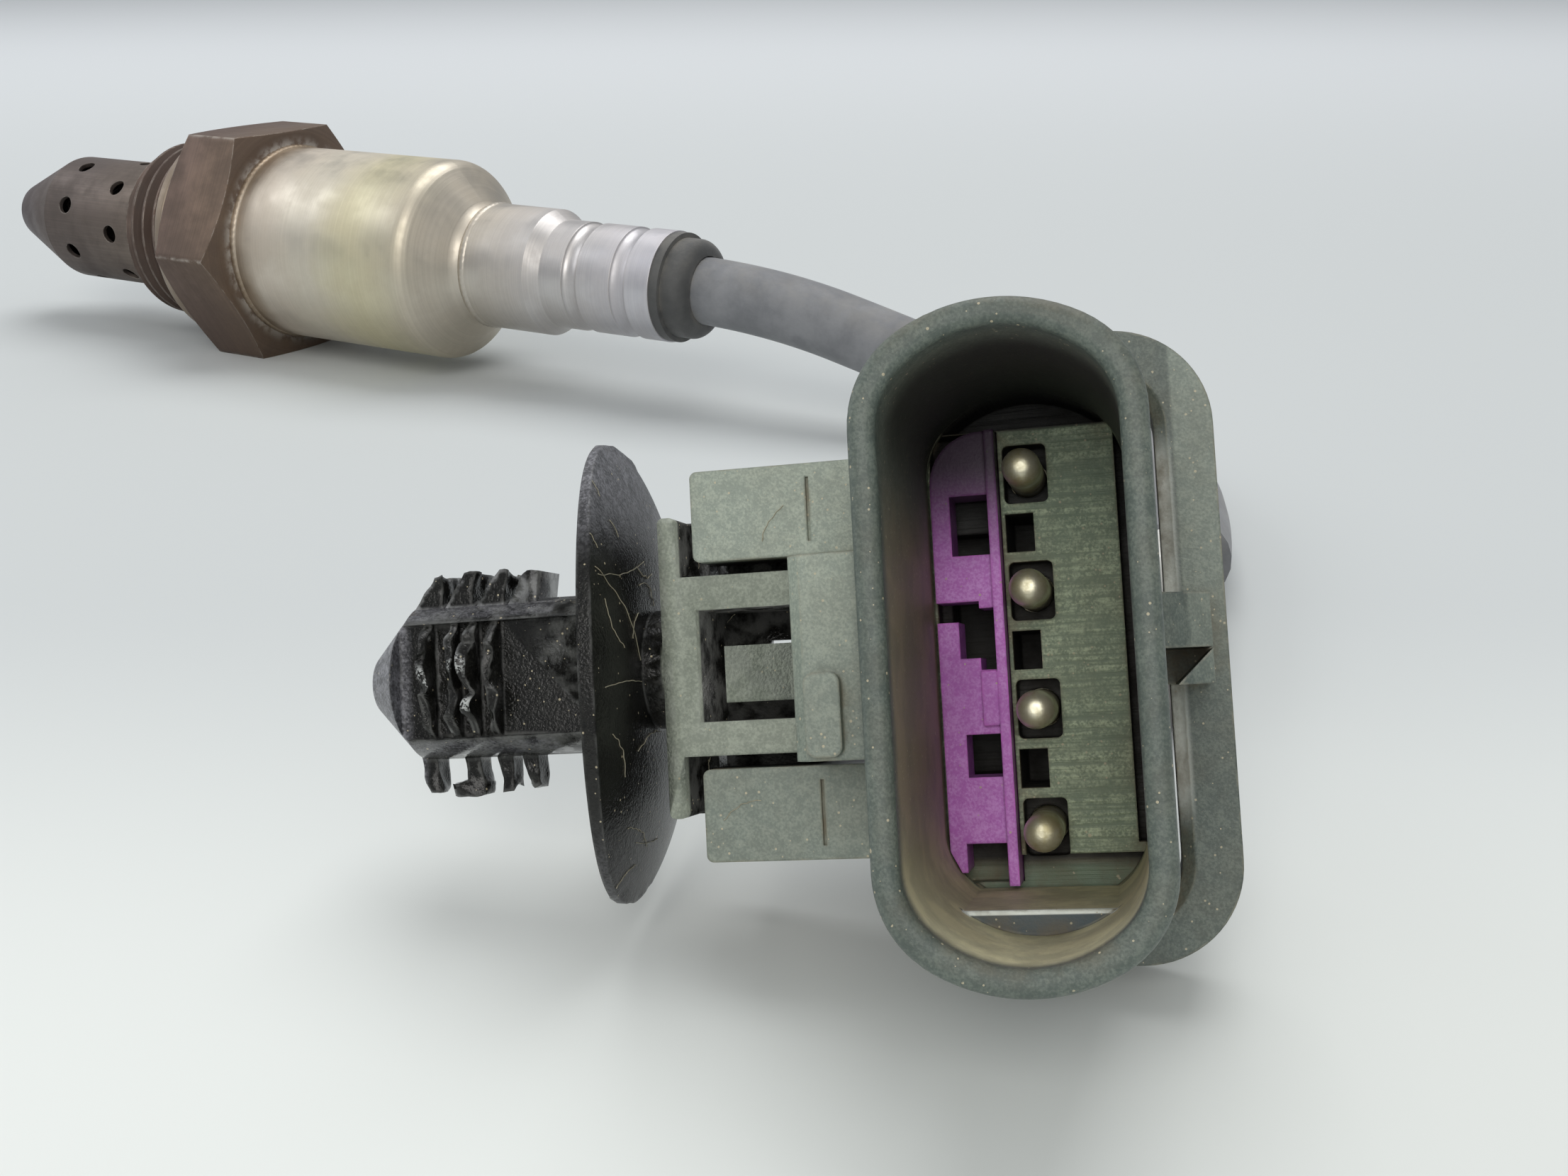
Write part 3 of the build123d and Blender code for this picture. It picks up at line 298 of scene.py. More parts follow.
    def plug_space(self) -> bpy.types.NodeTree:
        """Place in the plug's own frame, in millimetres; Z points out of its mouth."""
        graph, start, end = new_group("plug_space", {}, {"X": "Float", "Y": "Float", "Z": "Float"})
        place = graph.place()
        away = graph.add("VectorMath", {0: place, 1: PLUG.translation}, operation="SUBTRACT")
        for name, column in zip("XYZ", PLUG.to_3x3().transposed()):
            along = graph.add("VectorMath", {0: away.outputs[0], 1: column / MM ** 2},
                              operation="DOT_PRODUCT")
            graph.tree.links.new(along.outputs["Value"], end.inputs[name])
        return graph.tree

    def plug_axes(self, graph: Graph) -> tuple[Socket, ...]:
        """Width, height and depth in the plug's own frame."""
        space = self.use(graph, "plug_space")
        return tuple(space.outputs[name] for name in "XYZ")

    def use(self, graph: Graph, name: str, **values: object) -> Node:
        """Places a shared group in a material.

        Args:
            graph: The material's graph.
            name: Name of the shared group.
            values: Input names, with spaces as underscores, to values.

        Returns:
            The group node.
        """
        node = graph.add("Group", node_tree=self.groups[name])
        for key, value in values.items():
            node.inputs[key.replace("_", " ")].default_value = value
        return node


effects = EffectLibrary()


# ----------------------------------------------------------------------- finishes
def shader_material(name: str, **constants: object) -> tuple[Material, Graph, Node]:
    """Material with one Principled shader.

    Args:
        name: Name of the material.
        constants: Shader socket names, with spaces as underscores, to plain values.

    Returns:
        The material, its graph and its shader node.
    """
    material = bpy.data.materials.new(name)
    material.use_nodes = True
    material.node_tree.nodes.clear()
    graph = Graph(material.node_tree)
    shader = graph.add("BsdfPrincipled")
    output = graph.add("OutputMaterial")
    graph.tree.links.new(shader.outputs[0], output.inputs[0])
    for key, value in constants.items():
        shader.inputs[key.replace("_", " ")].default_value = value
    return material, graph, shader


def surface(graph: Graph, shader: Node, colour: Socket, rough: Value, **relief: object) -> None:
    """Feeds a shader its colour, its roughness and its fine relief.

    Args:
        graph: The material's graph.
        shader: Its Principled shader.
        colour: Base colour.
        rough: Roughness.
        relief: Inputs of the Bump node.
    """
    bump = graph.add("Bump", relief)
    for socket, name in ((colour, "Base Color"), (rough, "Roughness"), (bump.outputs[0], "Normal")):
        graph.tree.links.new(socket, shader.inputs[name])


@dataclass(frozen=True)
class MouldedPlastic:
    """Moulded plastic with grain, dust in its corners and worn edges; the clip's pale edge colour
    is a painted highlight instead.
    """

    name: str
    base: Point
    high: Point                     # the lighter peaks of the grain
    dust: Point = (0.17, 0.135, 0.085)
    # colour along the edges: wear, except on the clip, where it is a painted highlight
    edge: Point = (0.30, 0.29, 0.22)
    roughness: float = 0.5
    grain_scale: float = 9000.0
    grain_depth: float = 0.00006
    blotch_scale: float = 260.0
    blotch_amount: float = 0.35
    top_dust: float = 0.35
    corner_dust: float = 0.8
    speck_amount: float = 0.16
    speck_colour: Point = (0.48, 0.42, 0.29)
    edge_amount: float = 1.0
    gloss: float = 0.5
    painted_shade: Point = (0.006, 0.006, 0.006)

    def zones(self, graph: Graph, colour: Socket, rough: Value, grain: Socket) -> Look:
        """Colour and roughness, changed where parts of the piece look unlike the rest."""
        return colour, rough

    def darkness(self, graph: Graph) -> Socket | None:
        """Mask of the places painted dark as shade, where no light reaches."""
        return None

    def relief(self, graph: Graph, height: Socket) -> Socket:
        """Height of the surface's texture."""
        return height

    def specks(self, graph: Graph) -> Socket:
        """Mask of many fine specks and a few coarse ones."""
        fine = effects.use(graph, "specks", Scale=6000.0, Amount=self.speck_amount, Size=0.34)
        coarse = effects.use(graph, "specks", Scale=2400.0, Amount=self.speck_amount / 6, Size=0.2)
        return graph.math("MAXIMUM", fine.outputs["Mask"], coarse.outputs["Mask"])

    def make(self) -> Material:
        """Builds the material."""
        material, graph, shader = shader_material(self.name, Specular_IOR_Level=self.gloss)
        grain = effects.use(graph, "grain", Scale=self.grain_scale)
        blotch = effects.use(graph, "blotches", Scale=self.blotch_scale).outputs["Mask"]
        dust = effects.use(graph, "settled_dust", Top=self.top_dust,
                           Corners=self.corner_dust).outputs["Mask"]
        edge = effects.use(graph, "soft_edge")
        worn = edge.outputs["Mask"]
        colour = graph.blend(grain.outputs["Mask"], self.base, self.high)
        shade = tuple(channel * 0.6 for channel in self.base)
        colour = graph.blend(graph.times(blotch, self.blotch_amount), colour, shade)
        colour, rough = self.zones(graph, colour, self.roughness, grain.outputs["Mask"])
        # edge colour on the patchy edge mask: wear on most finishes, a painted highlight on the
        # clip
        colour = graph.blend(graph.times(worn, self.edge_amount), colour, self.edge)
        colour = graph.blend(dust, colour, self.dust)
        colour = graph.blend(graph.times(self.specks(graph), 0.75), colour, self.speck_colour)
        # painted shade: where the darkness mask is full the colour goes near black
        dark = self.darkness(graph)
        if dark is not None:
            colour = graph.blend(dark, colour, self.painted_shade)
        rough = graph.math("ADD", rough, graph.times(dust, 0.3))
        rough = graph.math("SUBTRACT", rough, graph.times(worn, 0.15))
        surface(graph, shader, colour, rough, Height=self.relief(graph, grain.outputs["Height"]),
                Strength=0.5, Distance=self.grain_depth, Normal=edge.outputs["Normal"])
        return material


@dataclass(frozen=True)
class HousingPlastic(MouldedPlastic):
    """The plug's plastic: grimy inside its mouth with painted shade at its upper end, greener and
    ridged on its floor.

    A span holds the two ends of a band, or where a mask starts and where it is full.
    """

    wall: tuple[Point, Point] = ((0.270, 0.225, 0.150), (0.720, 0.680, 0.440))
    floor: tuple[Point, Point] = ((0.160, 0.220, 0.150), (0.500, 0.590, 0.400))
    # colours of the rails and the guard, partly settled dust and partly painted light
    pale: tuple[Point, Point] = ((0.245, 0.285, 0.240), (0.360, 0.400, 0.330))
    step: Point = (0.060, 0.085, 0.100)
    # colour of the painted highlight along the keying step's ridge
    ridge_painted_highlight: Point = (0.85, 0.90, 0.86)
    # colour of the painted light on the guard's inner bevel
    lit_bevel: Point = (0.88, 0.90, 0.84)
    mouth_straight: float = 6.75        # half the straight run of the mouth's sides
    mouth_wall: Span = (4.75, 4.45)     # distance from the mouth's middle line
    mouth_depth: Span = (-0.4, -1.6)
    dirty_height: Span = (7.0, 3.0)
    wall_height: Span = (-5.0, -10.6)
    floor_depth: Span = (-14.1, -13.6)
    island_depth: Span = (-14.2, -13.5)
    island_height: Span = (-9.9, 9.4)
    pocket_depth: Span = (-14.2, -14.6)
    pocket_height: Span = (-9.4, -8.8)
    ledge_height: Span = (-8.8, -9.2)
    step_depth: Span = (-7.4, -7.2)
    step_height: Span = (-9.75, -9.9)
    ridge_depth: Span = (-7.5, -7.0)
    ridge_height: Span = (-10.12, -9.9)
    ridge_width: Span = (-3.1, 2.9)
    bevel_depth: Span = (-12.8, -13.6)
    bevel_height: Span = (-6.8, 8.0)
    bevel_width: Span = (5.2, 5.95)
    guard_width: Span = (6.1, 6.3)
    rail_width: Span = (-5.6, -6.4)
    rail_depth: Span = (-10.9, -9.8)
    behind_rails: Span = (-10.2, -11.2)
    pale_height: Span = (-5.0, 5.0)
    dark_height: Span = (5.5, 9.5)
    dark_depth: Span = (-1.0, -4.0)
    line_stretch: Span = (0.14, 4.2)
    line_depth: Span = (-13.5, -13.7)
    line_height: float = 2.8

    def inside(self, graph: Graph) -> Socket:
        """Mask of what lies inside the mouth."""
        wide, high, deep = effects.plug_axes(graph)
        past = graph.math("SUBTRACT", graph.math("ABSOLUTE", high), self.mouth_straight)
        past = graph.math("MAXIMUM", past, 0.0)
        square = graph.math("ADD", graph.times(wide, wide), graph.times(past, past))
        around = graph.remap(graph.math("SQRT", square), *self.mouth_wall)
        return graph.times(around, graph.remap(deep, *self.mouth_depth))

    def floor_lines(self, graph: Graph) -> Socket:
        """Uneven fine lines that run across the floor."""
        axes = zip(effects.plug_axes(graph), self.line_stretch)
        stretched = graph.add("CombineXYZ", dict(enumerate(graph.times(*pair) for pair in axes)))
        return graph.noise(stretched.outputs[0], 1.0, 3.0, 0.6)

    def zones(self, graph: Graph, colour: Socket, rough: Value, grain: Socket) -> Look:
        """Grime inside the mouth, paler towards its bottom; a green floor; painted highlights on
        the keying ridge and the guard's bevel; and rails and guard paler upward, partly from dust
        and partly painted light.
        """
        inside = self.inside(graph)
        pale = graph.blend(grain, *self.pale)
        layers = self.mouth_zones(graph, inside, grain) + self.outer_zones(graph, pale)
        for mask, paint in layers:
            colour = graph.blend(mask, colour, paint)
        return colour, graph.math("ADD", rough, graph.times(inside, 0.05))

    def mouth_zones(self, graph: Graph, inside: Socket, grain: Socket) -> Layers:
        """Masks and paints of the wall, the floor, the ledge, the keying step, and a painted
        highlight along its ridge.
        """
        wide, high, deep = effects.plug_axes(graph)
        patch = effects.use(graph, "blotches", Scale=380.0).outputs["Mask"]
        grime = graph.times(inside, graph.remap(high, *self.dirty_height, 0.12, 1.0),
                            graph.remap(patch, 0.0, 0.8, 0.7, 1.0))
        lines = graph.remap(self.floor_lines(graph), 0.32, 0.68)
        floor = graph.times(inside, graph.band(deep, *self.floor_depth, 0.1),
                            graph.band(high, *self.island_height, 0.1), 0.92)
        ledge = graph.times(graph.remap(deep, *self.pocket_depth),
                            graph.remap(high, *self.ledge_height), inside)
        step = graph.times(graph.remap(high, *self.step_height),
                           graph.band(deep, *self.step_depth, 0.05), inside)
        # painted highlight: a pale line along the keying step's front edge, where light glints
        ridge = graph.times(graph.band(high, *self.ridge_height, 0.03),
                            graph.band(deep, *self.ridge_depth, 0.05),
                            graph.band(wide, *self.ridge_width, 0.15))
        # the wall colour runs from darker near the top to paler near the bottom of the mouth
        return [(grime, graph.blend(graph.remap(high, *self.wall_height), *self.wall)),
                (floor, graph.blend(graph.times(lines, grain), *self.floor)),
                (ledge, self.floor[0]), (step, self.step), (ridge, self.ridge_painted_highlight)]

    def outer_zones(self, graph: Graph, pale: Socket) -> Layers:
        """Masks and paints of the painted light on the guard's bevel, and of the guard and the
        rails paler upward, partly dust and partly painted light.
        """
        wide, high, deep = effects.plug_axes(graph)
        # painted light: the guard's inner bevel painted near white, as if lit
        bevel = graph.times(graph.band(wide, *self.bevel_width, 0.25),
                            graph.remap(deep, *self.bevel_depth),
                            graph.band(high, *self.bevel_height, 1.4), 0.95)
        # the guard and the rails grow paler upward, partly settled dust and partly painted light
        guard = graph.times(graph.remap(wide, *self.guard_width),
                            graph.remap(high, *self.pale_height, 0.0, 0.5))
        rails = graph.times(graph.remap(wide, *self.rail_width),
                            graph.remap(high, *self.pale_height, 0.45, 0.95),
                            graph.remap(deep, *self.rail_depth))
        return [(bevel, self.lit_bevel), (guard, pale), (rails, pale)]

    def darkness(self, graph: Graph) -> Socket:
        """Painted shade over the mouth's upper end, the holes in its floor and the gaps behind the
        rails.
        """
        wide, high, deep = effects.plug_axes(graph)
        island = graph.times(graph.band(deep, *self.island_depth, 0.1),
                             graph.band(high, *self.island_height, 0.1))
        upper = graph.times(graph.remap(high, *self.dark_height, 0.0, 0.85),
                            graph.remap(deep, *self.dark_depth),
                            graph.math("SUBTRACT", 1.0, island))
        holes = graph.times(graph.remap(deep, *self.pocket_depth),
                            graph.remap(high, *self.pocket_height))
        mouth = graph.times(graph.math("MAXIMUM", upper, holes), self.inside(graph))
        behind = graph.times(graph.remap(wide, *self.rail_width),
                             graph.remap(deep, *self.behind_rails))
        return graph.times(graph.math("MAXIMUM", mouth, behind), 0.95)

    def relief(self, graph: Graph, height: Socket) -> Socket:
        """The grain, with lines across the floor."""
        deep = effects.plug_axes(graph)[2]
        floor = graph.times(self.inside(graph), graph.remap(deep, *self.line_depth))
        lines = graph.times(self.floor_lines(graph), self.line_height, floor)
        return graph.math("ADD", height, lines)


@dataclass(frozen=True)
class LockPlastic(MouldedPlastic):
    """The lock's plastic, with painted shade at its upper end."""

    dark_height: Span = (3.0, 8.2)

    def darkness(self, graph: Graph) -> Socket:
        """Painted shade over the upper end, where no light reaches."""
        return graph.remap(effects.plug_axes(graph)[1], *self.dark_height, 0.0, 0.94)


@dataclass(frozen=True)
class ClipPlastic(MouldedPlastic):
    """The clip's plastic: dusty on its frame, black and glossy on its disc and stud, with dust and
    painted sheen at the disc's ends and painted highlights on the stud.

    A span holds the two ends of a band, or where a mask starts and where it is full.
    """

    frame: tuple[Point, Point] = ((0.225, 0.250, 0.205), (0.335, 0.365, 0.300))
    frame_roughness: float = 0.55
    # colours of the disc's dust and painted sheen and of the stud tip's painted reflection
    dust_and_sheen_colours: tuple[Point, Point] = ((0.060, 0.060, 0.066), (0.230, 0.230, 0.250))
    # colour of the painted highlights on the rib crests
    crest_highlight_colour: Point = (0.52, 0.54, 0.53)
    disc_width: Span = (-19.5, -15.9)
    disc_top: Span = (3.8, 8.6)
    disc_foot: Span = (-5.2, -9.4)
    tip_width: Span = (-27.0, -27.6)
    side_band_height: Span = (2.7, 3.3)
    stud_width: Span = (-20.3, -20.5)
    glossy_width: Span = (-20.6, -21.6)
    rib_width: Span = (-26.6, -22.8)
    rib_crest: Span = (-9.76, -9.56)
    frame_width: Span = (-15.5, -15.3)
    frame_depth: Span = (-10.6, -10.25)

    def zones(self, graph: Graph, colour: Socket, rough: Value, grain: Socket) -> Look:
        """Dust on the frame; the disc's two ends paler from dust and a painted sheen; a painted
        reflection on the stud's tip, paler bands on its sides, and painted highlights on its rib
        crests.
        """
        wide, high, deep = effects.plug_axes(graph)
        # the disc's two ends paler, partly dust and partly painted sheen
        ends = graph.math("ADD", graph.remap(high, *self.disc_top, 0.0, 0.9),
                          graph.remap(high, *self.disc_foot, 0.0, 0.3))
        disc = graph.times(graph.band(wide, *self.disc_width, 0.1), ends)
        # painted reflection: the stud's tip painted paler, as if it caught the light
        tip_reflection = graph.remap(wide, *self.tip_width, 0.0, 0.95)
        # paler bands along the stud's sides, in the same dust and sheen colours
        side_bands = graph.times(graph.remap(wide, *self.stud_width),
                           graph.band(graph.math("ABSOLUTE", high), *self.side_band_height, 0.1), 0.45)
        dust_and_sheen = graph.math("MAXIMUM", graph.math("MAXIMUM", disc, tip_reflection), side_bands)
        # painted highlight: broken pale glints along the rib crests
        crest = graph.times(graph.band(wide, *self.rib_width, 0.1),
                            graph.remap(deep, *self.rib_crest), graph.remap(grain, 0.30, 0.62), 0.8)
        dusty = graph.times(graph.remap(wide, *self.frame_width),
                            graph.remap(deep, *self.frame_depth))
        colour = graph.blend(dust_and_sheen, colour, graph.blend(grain, *self.dust_and_sheen_colours))
        colour = graph.blend(crest, colour, self.crest_highlight_colour)
        colour = graph.blend(graph.times(dusty, 0.92), colour, graph.blend(grain, *self.frame))
        matt = graph.math("MAXIMUM", dusty, graph.times(dust_and_sheen, 0.6))
        wet = graph.times(graph.remap(wide, *self.glossy_width, 1.0, 0.55), rough)
        return colour, graph.remap(matt, 0.0, 1.0, wet, self.frame_roughness)


@dataclass(frozen=True)
class HeatedSteel:
    """Steel turned or drawn, with heat colours that change along the sensor.

    Each tint is a place along X in metres and the colour there.
    """

    name: str
    tints: tuple[tuple[float, Point], ...]
    roughness: float = 0.36
    motion: Motion = Motion.ROUND
    mark_depth: float = 0.00002
    soot: float = 0.25
    soot_colour: Point = (0.05, 0.04, 0.035)
    streak_colour: Point = (0.9, 0.87, 0.82)
    edge_colour: Point = (0.62, 0.58, 0.52)
    edge_radius: float = 0.00015
    wander: float = 0.006               # how far a tint's border strays along X

    def heat_colour(self, graph: Graph) -> Socket:
        """The tints, with uneven borders."""
        place = graph.place()
        stray = graph.math("SUBTRACT", graph.noise(place, 120.0, 3.0), 0.5)
        along = graph.math("ADD", graph.axis(place, "X"), graph.times(stray, self.wander))
        colour = self.tints[0][1]
        for (low, _), (high, tint) in zip(self.tints, self.tints[1:]):
            colour = graph.blend(graph.remap(along, low, high), colour, tint)
        return colour

    def make(self) -> Material:
        """Builds the material."""
        material, graph, shader = shader_material(self.name)
        blotch = effects.use(graph, "blotches", Scale=210.0).outputs["Mask"]
        marks = effects.use(graph, "tool_marks", **self.motion.value).outputs["Height"]
        edge = effects.use(graph, "soft_edge", Radius=self.edge_radius)
        dark = graph.times(blotch, self.soot)
        colour = graph.blend(dark, self.heat_colour(graph), self.soot_colour)
        streak = graph.times(graph.remap(marks, 0.35, 0.7), 0.22)
        colour = graph.blend(streak, colour, self.streak_colour, "SOFT_LIGHT")
        colour = graph.blend(graph.times(edge.outputs["Mask"], 0.5), colour, self.edge_colour)
        metal = graph.math("SUBTRACT", 1.0, graph.times(dark, 0.8))
        graph.tree.links.new(metal, shader.inputs["Metallic"])
        rough = graph.math("ADD", self.roughness, graph.times(blotch, 0.22))
        surface(graph, shader, colour, rough, Height=marks, Strength=0.35,
                Distance=self.mark_depth, Normal=edge.outputs["Normal"])
        return material


@dataclass(frozen=True)
class SoftRubber:
    """Rubber or cable sheath with a faint mottle, dust and handling marks."""

    name: str
    base: Point
    high: Point
    roughness: float = 0.62
    grain_scale: float = 5000.0
    grain_depth: float = 0.00004
    dust: Point = (0.26, 0.24, 0.2)
    top_dust: float = 0.25
    corner_dust: float = 0.5

    def make(self) -> Material:
        """Builds the material."""
        material, graph, shader = shader_material(self.name, Sheen_Weight=0.15, Sheen_Roughness=0.5)
        grain = effects.use(graph, "grain", Scale=self.grain_scale)
        dust = effects.use(graph, "settled_dust", Top=self.top_dust, Corners=self.corner_dust)
        blotch = effects.use(graph, "blotches", Scale=300.0)
        colour = graph.blend(blotch.outputs["Mask"], self.base, self.high)
        colour = graph.blend(graph.times(grain.outputs["Mask"], 0.3), colour, self.high)
        colour = graph.blend(dust.outputs["Mask"], colour, self.dust)
        rough = graph.math("ADD", self.roughness, graph.times(grain.outputs["Mask"], 0.12))
        surface(graph, shader, colour, rough, Height=grain.outputs["Height"], Strength=0.5,
                Distance=self.grain_depth)
        return material


@dataclass(frozen=True)
class FiredCeramic:
    """Unglazed fired ceramic with fine pores."""

    name: str
    base: Point = (0.74, 0.71, 0.64)
    shadow: Point = (0.56, 0.52, 0.46)
    grain_depth: float = 0.00003

    def make(self) -> Material:
        """Builds the material."""
        material, graph, shader = shader_material(self.name)
        grain = effects.use(graph, "grain", Scale=6000.0)
        blotch = effects.use(graph, "blotches", Scale=340.0)
        pores = effects.use(graph, "specks", Scale=2600.0, Amount=0.25, Size=0.2)
        colour = graph.blend(graph.times(blotch.outputs["Mask"], 0.6), self.base, self.shadow)
        pit = tuple(channel * 0.5 for channel in self.shadow)
        colour = graph.blend(pores.outputs["Mask"], colour, pit)
        rough = graph.remap(grain.outputs["Mask"], 0.0, 1.0, 0.62, 0.8)
        surface(graph, shader, colour, rough, Height=grain.outputs["Height"], Strength=0.3,
                Distance=self.grain_depth)
        return material


@dataclass(frozen=True)
class TinnedContact:
    """Tin-plated contact metal with worn and yellowed patches."""

    name: str
    base: Point = (0.62, 0.60, 0.47)
    worn: Point = (0.40, 0.36, 0.21)
    grain_depth: float = 0.00003

    def make(self) -> Material:
        """Builds the material."""
        material, graph, shader = shader_material(self.name, Metallic=0.72)
        blotch = effects.use(graph, "blotches", Scale=900.0).outputs["Mask"]
        grain = effects.use(graph, "grain", Scale=9000.0)
        rough = graph.remap(blotch, 0.0, 1.0, 0.36, 0.5)
        surface(graph, shader, graph.blend(blotch, self.base, self.worn), rough,
                Height=grain.outputs["Height"], Strength=0.25, Distance=self.grain_depth)
        return material


# ------------------------------------------------------------------- shared making
def finish_mesh(mesh: bpy.types.Mesh, material: Material, smooth_angle: float) -> None:
    """Gives a mesh its one material, and smooth shading below an edge angle in degrees."""
    mesh.materials.clear()
    mesh.materials.append(material)
    mesh.shade_smooth()
    mesh.set_sharp_from_angle(angle=math.radians(smooth_angle))


def dress(node: str, material: Material, smooth_angle: float = 32.0) -> None:
    """Finishes a solid of the frame as it is."""
    finish_mesh(frame["nodes"][node].data, material, smooth_angle)


def place_piece(name: str, form: Form, material: Material, smooth_angle: float) -> Piece:
    """Makes a finished piece from a bmesh.

    Args:
        name: Name of the piece.
        form: Its mesh, already where it belongs; it is freed.
        material: Its finish.
        smooth_angle: Faces that meet at less than this, in degrees, are shaded as one.

    Returns:
        The object, riding on the body.
    """
    bmesh.ops.recalc_face_normals(form, faces=form.faces)
    mesh = bpy.data.meshes.new(name)
    form.to_mesh(mesh)
    form.free()
    finish_mesh(mesh, material, smooth_angle)
    piece = bpy.data.objects.new(name, mesh)
    bpy.context.scene.collection.objects.link(piece)
    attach(piece, "root")
    log.info("%s: %d faces", name, len(mesh.polygons))
    return piece


def merge_slivers(form: Form, least_edge: float) -> None:
    """Joins vertices that lie in one place and removes faces without area."""
    bmesh.ops.remove_doubles(form, verts=form.verts, dist=MERGE)
    bmesh.ops.dissolve_degenerate(form, edges=form.edges, dist=least_edge)


def copy_of_solid(node: str) -> Form:
    """A merged copy of a frame solid's mesh."""
    form = bmesh.new()
    form.from_mesh(frame["nodes"][node].data)
    merge_slivers(form, MERGE / 2)
    return form


def spin_profile(form: Form, profile: Sequence[Span], steps: int) -> None:
    """Adds a surface by turning a profile of (x, radius) places once round the X axis."""
    verts = [form.verts.new((x, 0.0, radius)) for x, radius in profile]
    edges = [form.edges.new(pair) for pair in zip(verts, verts[1:])]
    bmesh.ops.spin(form, geom=verts + edges, cent=(0, 0, 0), axis=(1, 0, 0),
                   angle=2 * math.pi, steps=steps, use_merge=True)


def cut_across(form: Form, place: float, side: int) -> None:
    """Removes what lies past a place on the X axis, on the side of that sign."""
    bmesh.ops.bisect_plane(form, geom=form.verts[:] + form.edges[:] + form.faces[:],
                           plane_co=(place, 0, 0), plane_no=(side, 0, 0), clear_outer=True)


# --------------------------------------------------------------- camera and lights
@dataclass
class Studio:
    """Camera, soft light and a pale floor with painted light and shade across it."""

    eye: Point = (0.1301, -0.11935, 0.03058)
    pitch: float = 66.8
    heading: float = 28.2
    lens: float = 35.8
    floor_height: float = -0.011
    floor_size: float = 6.0
    # floor colours that paint light and shade along the heading
    near_colour: Point = (0.715, 0.74, 0.715)
    middle_colour: Point = (0.535, 0.56, 0.56)
    far_colour: Point = (0.665, 0.69, 0.705)
    near_border: Span = (-0.122, -0.070)        # metres along the heading
    far_border: Span = (0.0, 0.45)
    aim: Point = (0.08, -0.03, 0.0)
    sky: Point = (0.93, 0.96, 1.0)
    sky_strength: float = 0.42

    def camera(self) -> None:
        """Places the camera at the viewing angle."""
        data = bpy.data.cameras.new("camera")
        data.lens = self.lens
        data.sensor_width = 36.0
        data.clip_start = 0.005
        data.clip_end = 20.0
        camera = bpy.data.objects.new("camera", data)
        camera.location = self.eye
        camera.rotation_euler = (math.radians(self.pitch), 0.0, math.radians(self.heading))
        bpy.context.scene.collection.objects.link(camera)
        bpy.context.scene.camera = camera

    def lamp(self, name: str, place: Point, size: float, power: float,
             colour: Point = (1.0, 1.0, 1.0)) -> None:
        """Adds one square soft lamp that faces the sensor."""
        data = bpy.data.lights.new(name, "AREA")
        data.size = size
        data.energy = power
        data.color = colour
        lamp = bpy.data.objects.new(name, data)
        lamp.location = place
        toward = Vector(self.aim) - Vector(place)
        lamp.rotation_mode = "QUATERNION"
        lamp.rotation_quaternion = toward.to_track_quat("-Z", "Y")
        bpy.context.scene.collection.objects.link(lamp)

    def lights(self) -> None:
        """Soft overhead light with a little from the front, over a pale world."""
        self.lamp("lamp_over", (-0.02, 0.32, 0.94), 0.77, 6.0)
        self.lamp("lamp_front", (0.30, -0.75, 0.55), 0.55, 3.9, (1.0, 0.98, 0.94))
        self.lamp("lamp_left", (-0.60, -0.17, 0.41), 0.47, 1.25, (0.95, 0.97, 1.0))
        world = bpy.data.worlds.new("studio")
        world.use_nodes = True
        background = world.node_tree.nodes["Background"]
        background.inputs["Color"].default_value = rgba(self.sky)
        background.inputs["Strength"].default_value = self.sky_strength
        bpy.context.scene.world = world
        bpy.context.scene.view_settings.view_transform = "Standard"

    def floor(self) -> None:
        """A large floor with painted light and shade: a little brighter near by and far off, darker
        between.
        """
        form = bmesh.new()
        bmesh.ops.create_grid(form, x_segments=1, y_segments=1, size=self.floor_size / 2)
        bmesh.ops.translate(form, verts=form.verts, vec=(0.0, 0.0, self.floor_height))
        mesh = bpy.data.meshes.new("floor")
        form.to_mesh(mesh)
        form.free()
        material, graph, shader = shader_material("floor_paper", Roughness=0.75)
        place = graph.place()
        turn = math.radians(self.heading)
        along = graph.times(graph.axis(place, "Y"), math.cos(turn))
        across = graph.times(graph.axis(place, "X"), math.sin(turn))
        away = graph.math("SUBTRACT", along, across)
        # painted light and shade: the floor's colour brightens near the camera and far off
        near = graph.remap(away, *self.near_border)
        colour = graph.blend(near, self.near_colour, self.middle_colour)
        colour = graph.blend(graph.remap(away, *self.far_border), colour, self.far_colour)
        graph.tree.links.new(colour, shader.inputs["Base Color"])
        mesh.materials.append(material)
        floor = bpy.data.objects.new("floor", mesh)
        bpy.context.scene.collection.objects.link(floor)

    def build(self) -> None:
        """Makes camera, lights and floor."""
        self.camera()
        self.lights()
        self.floor()


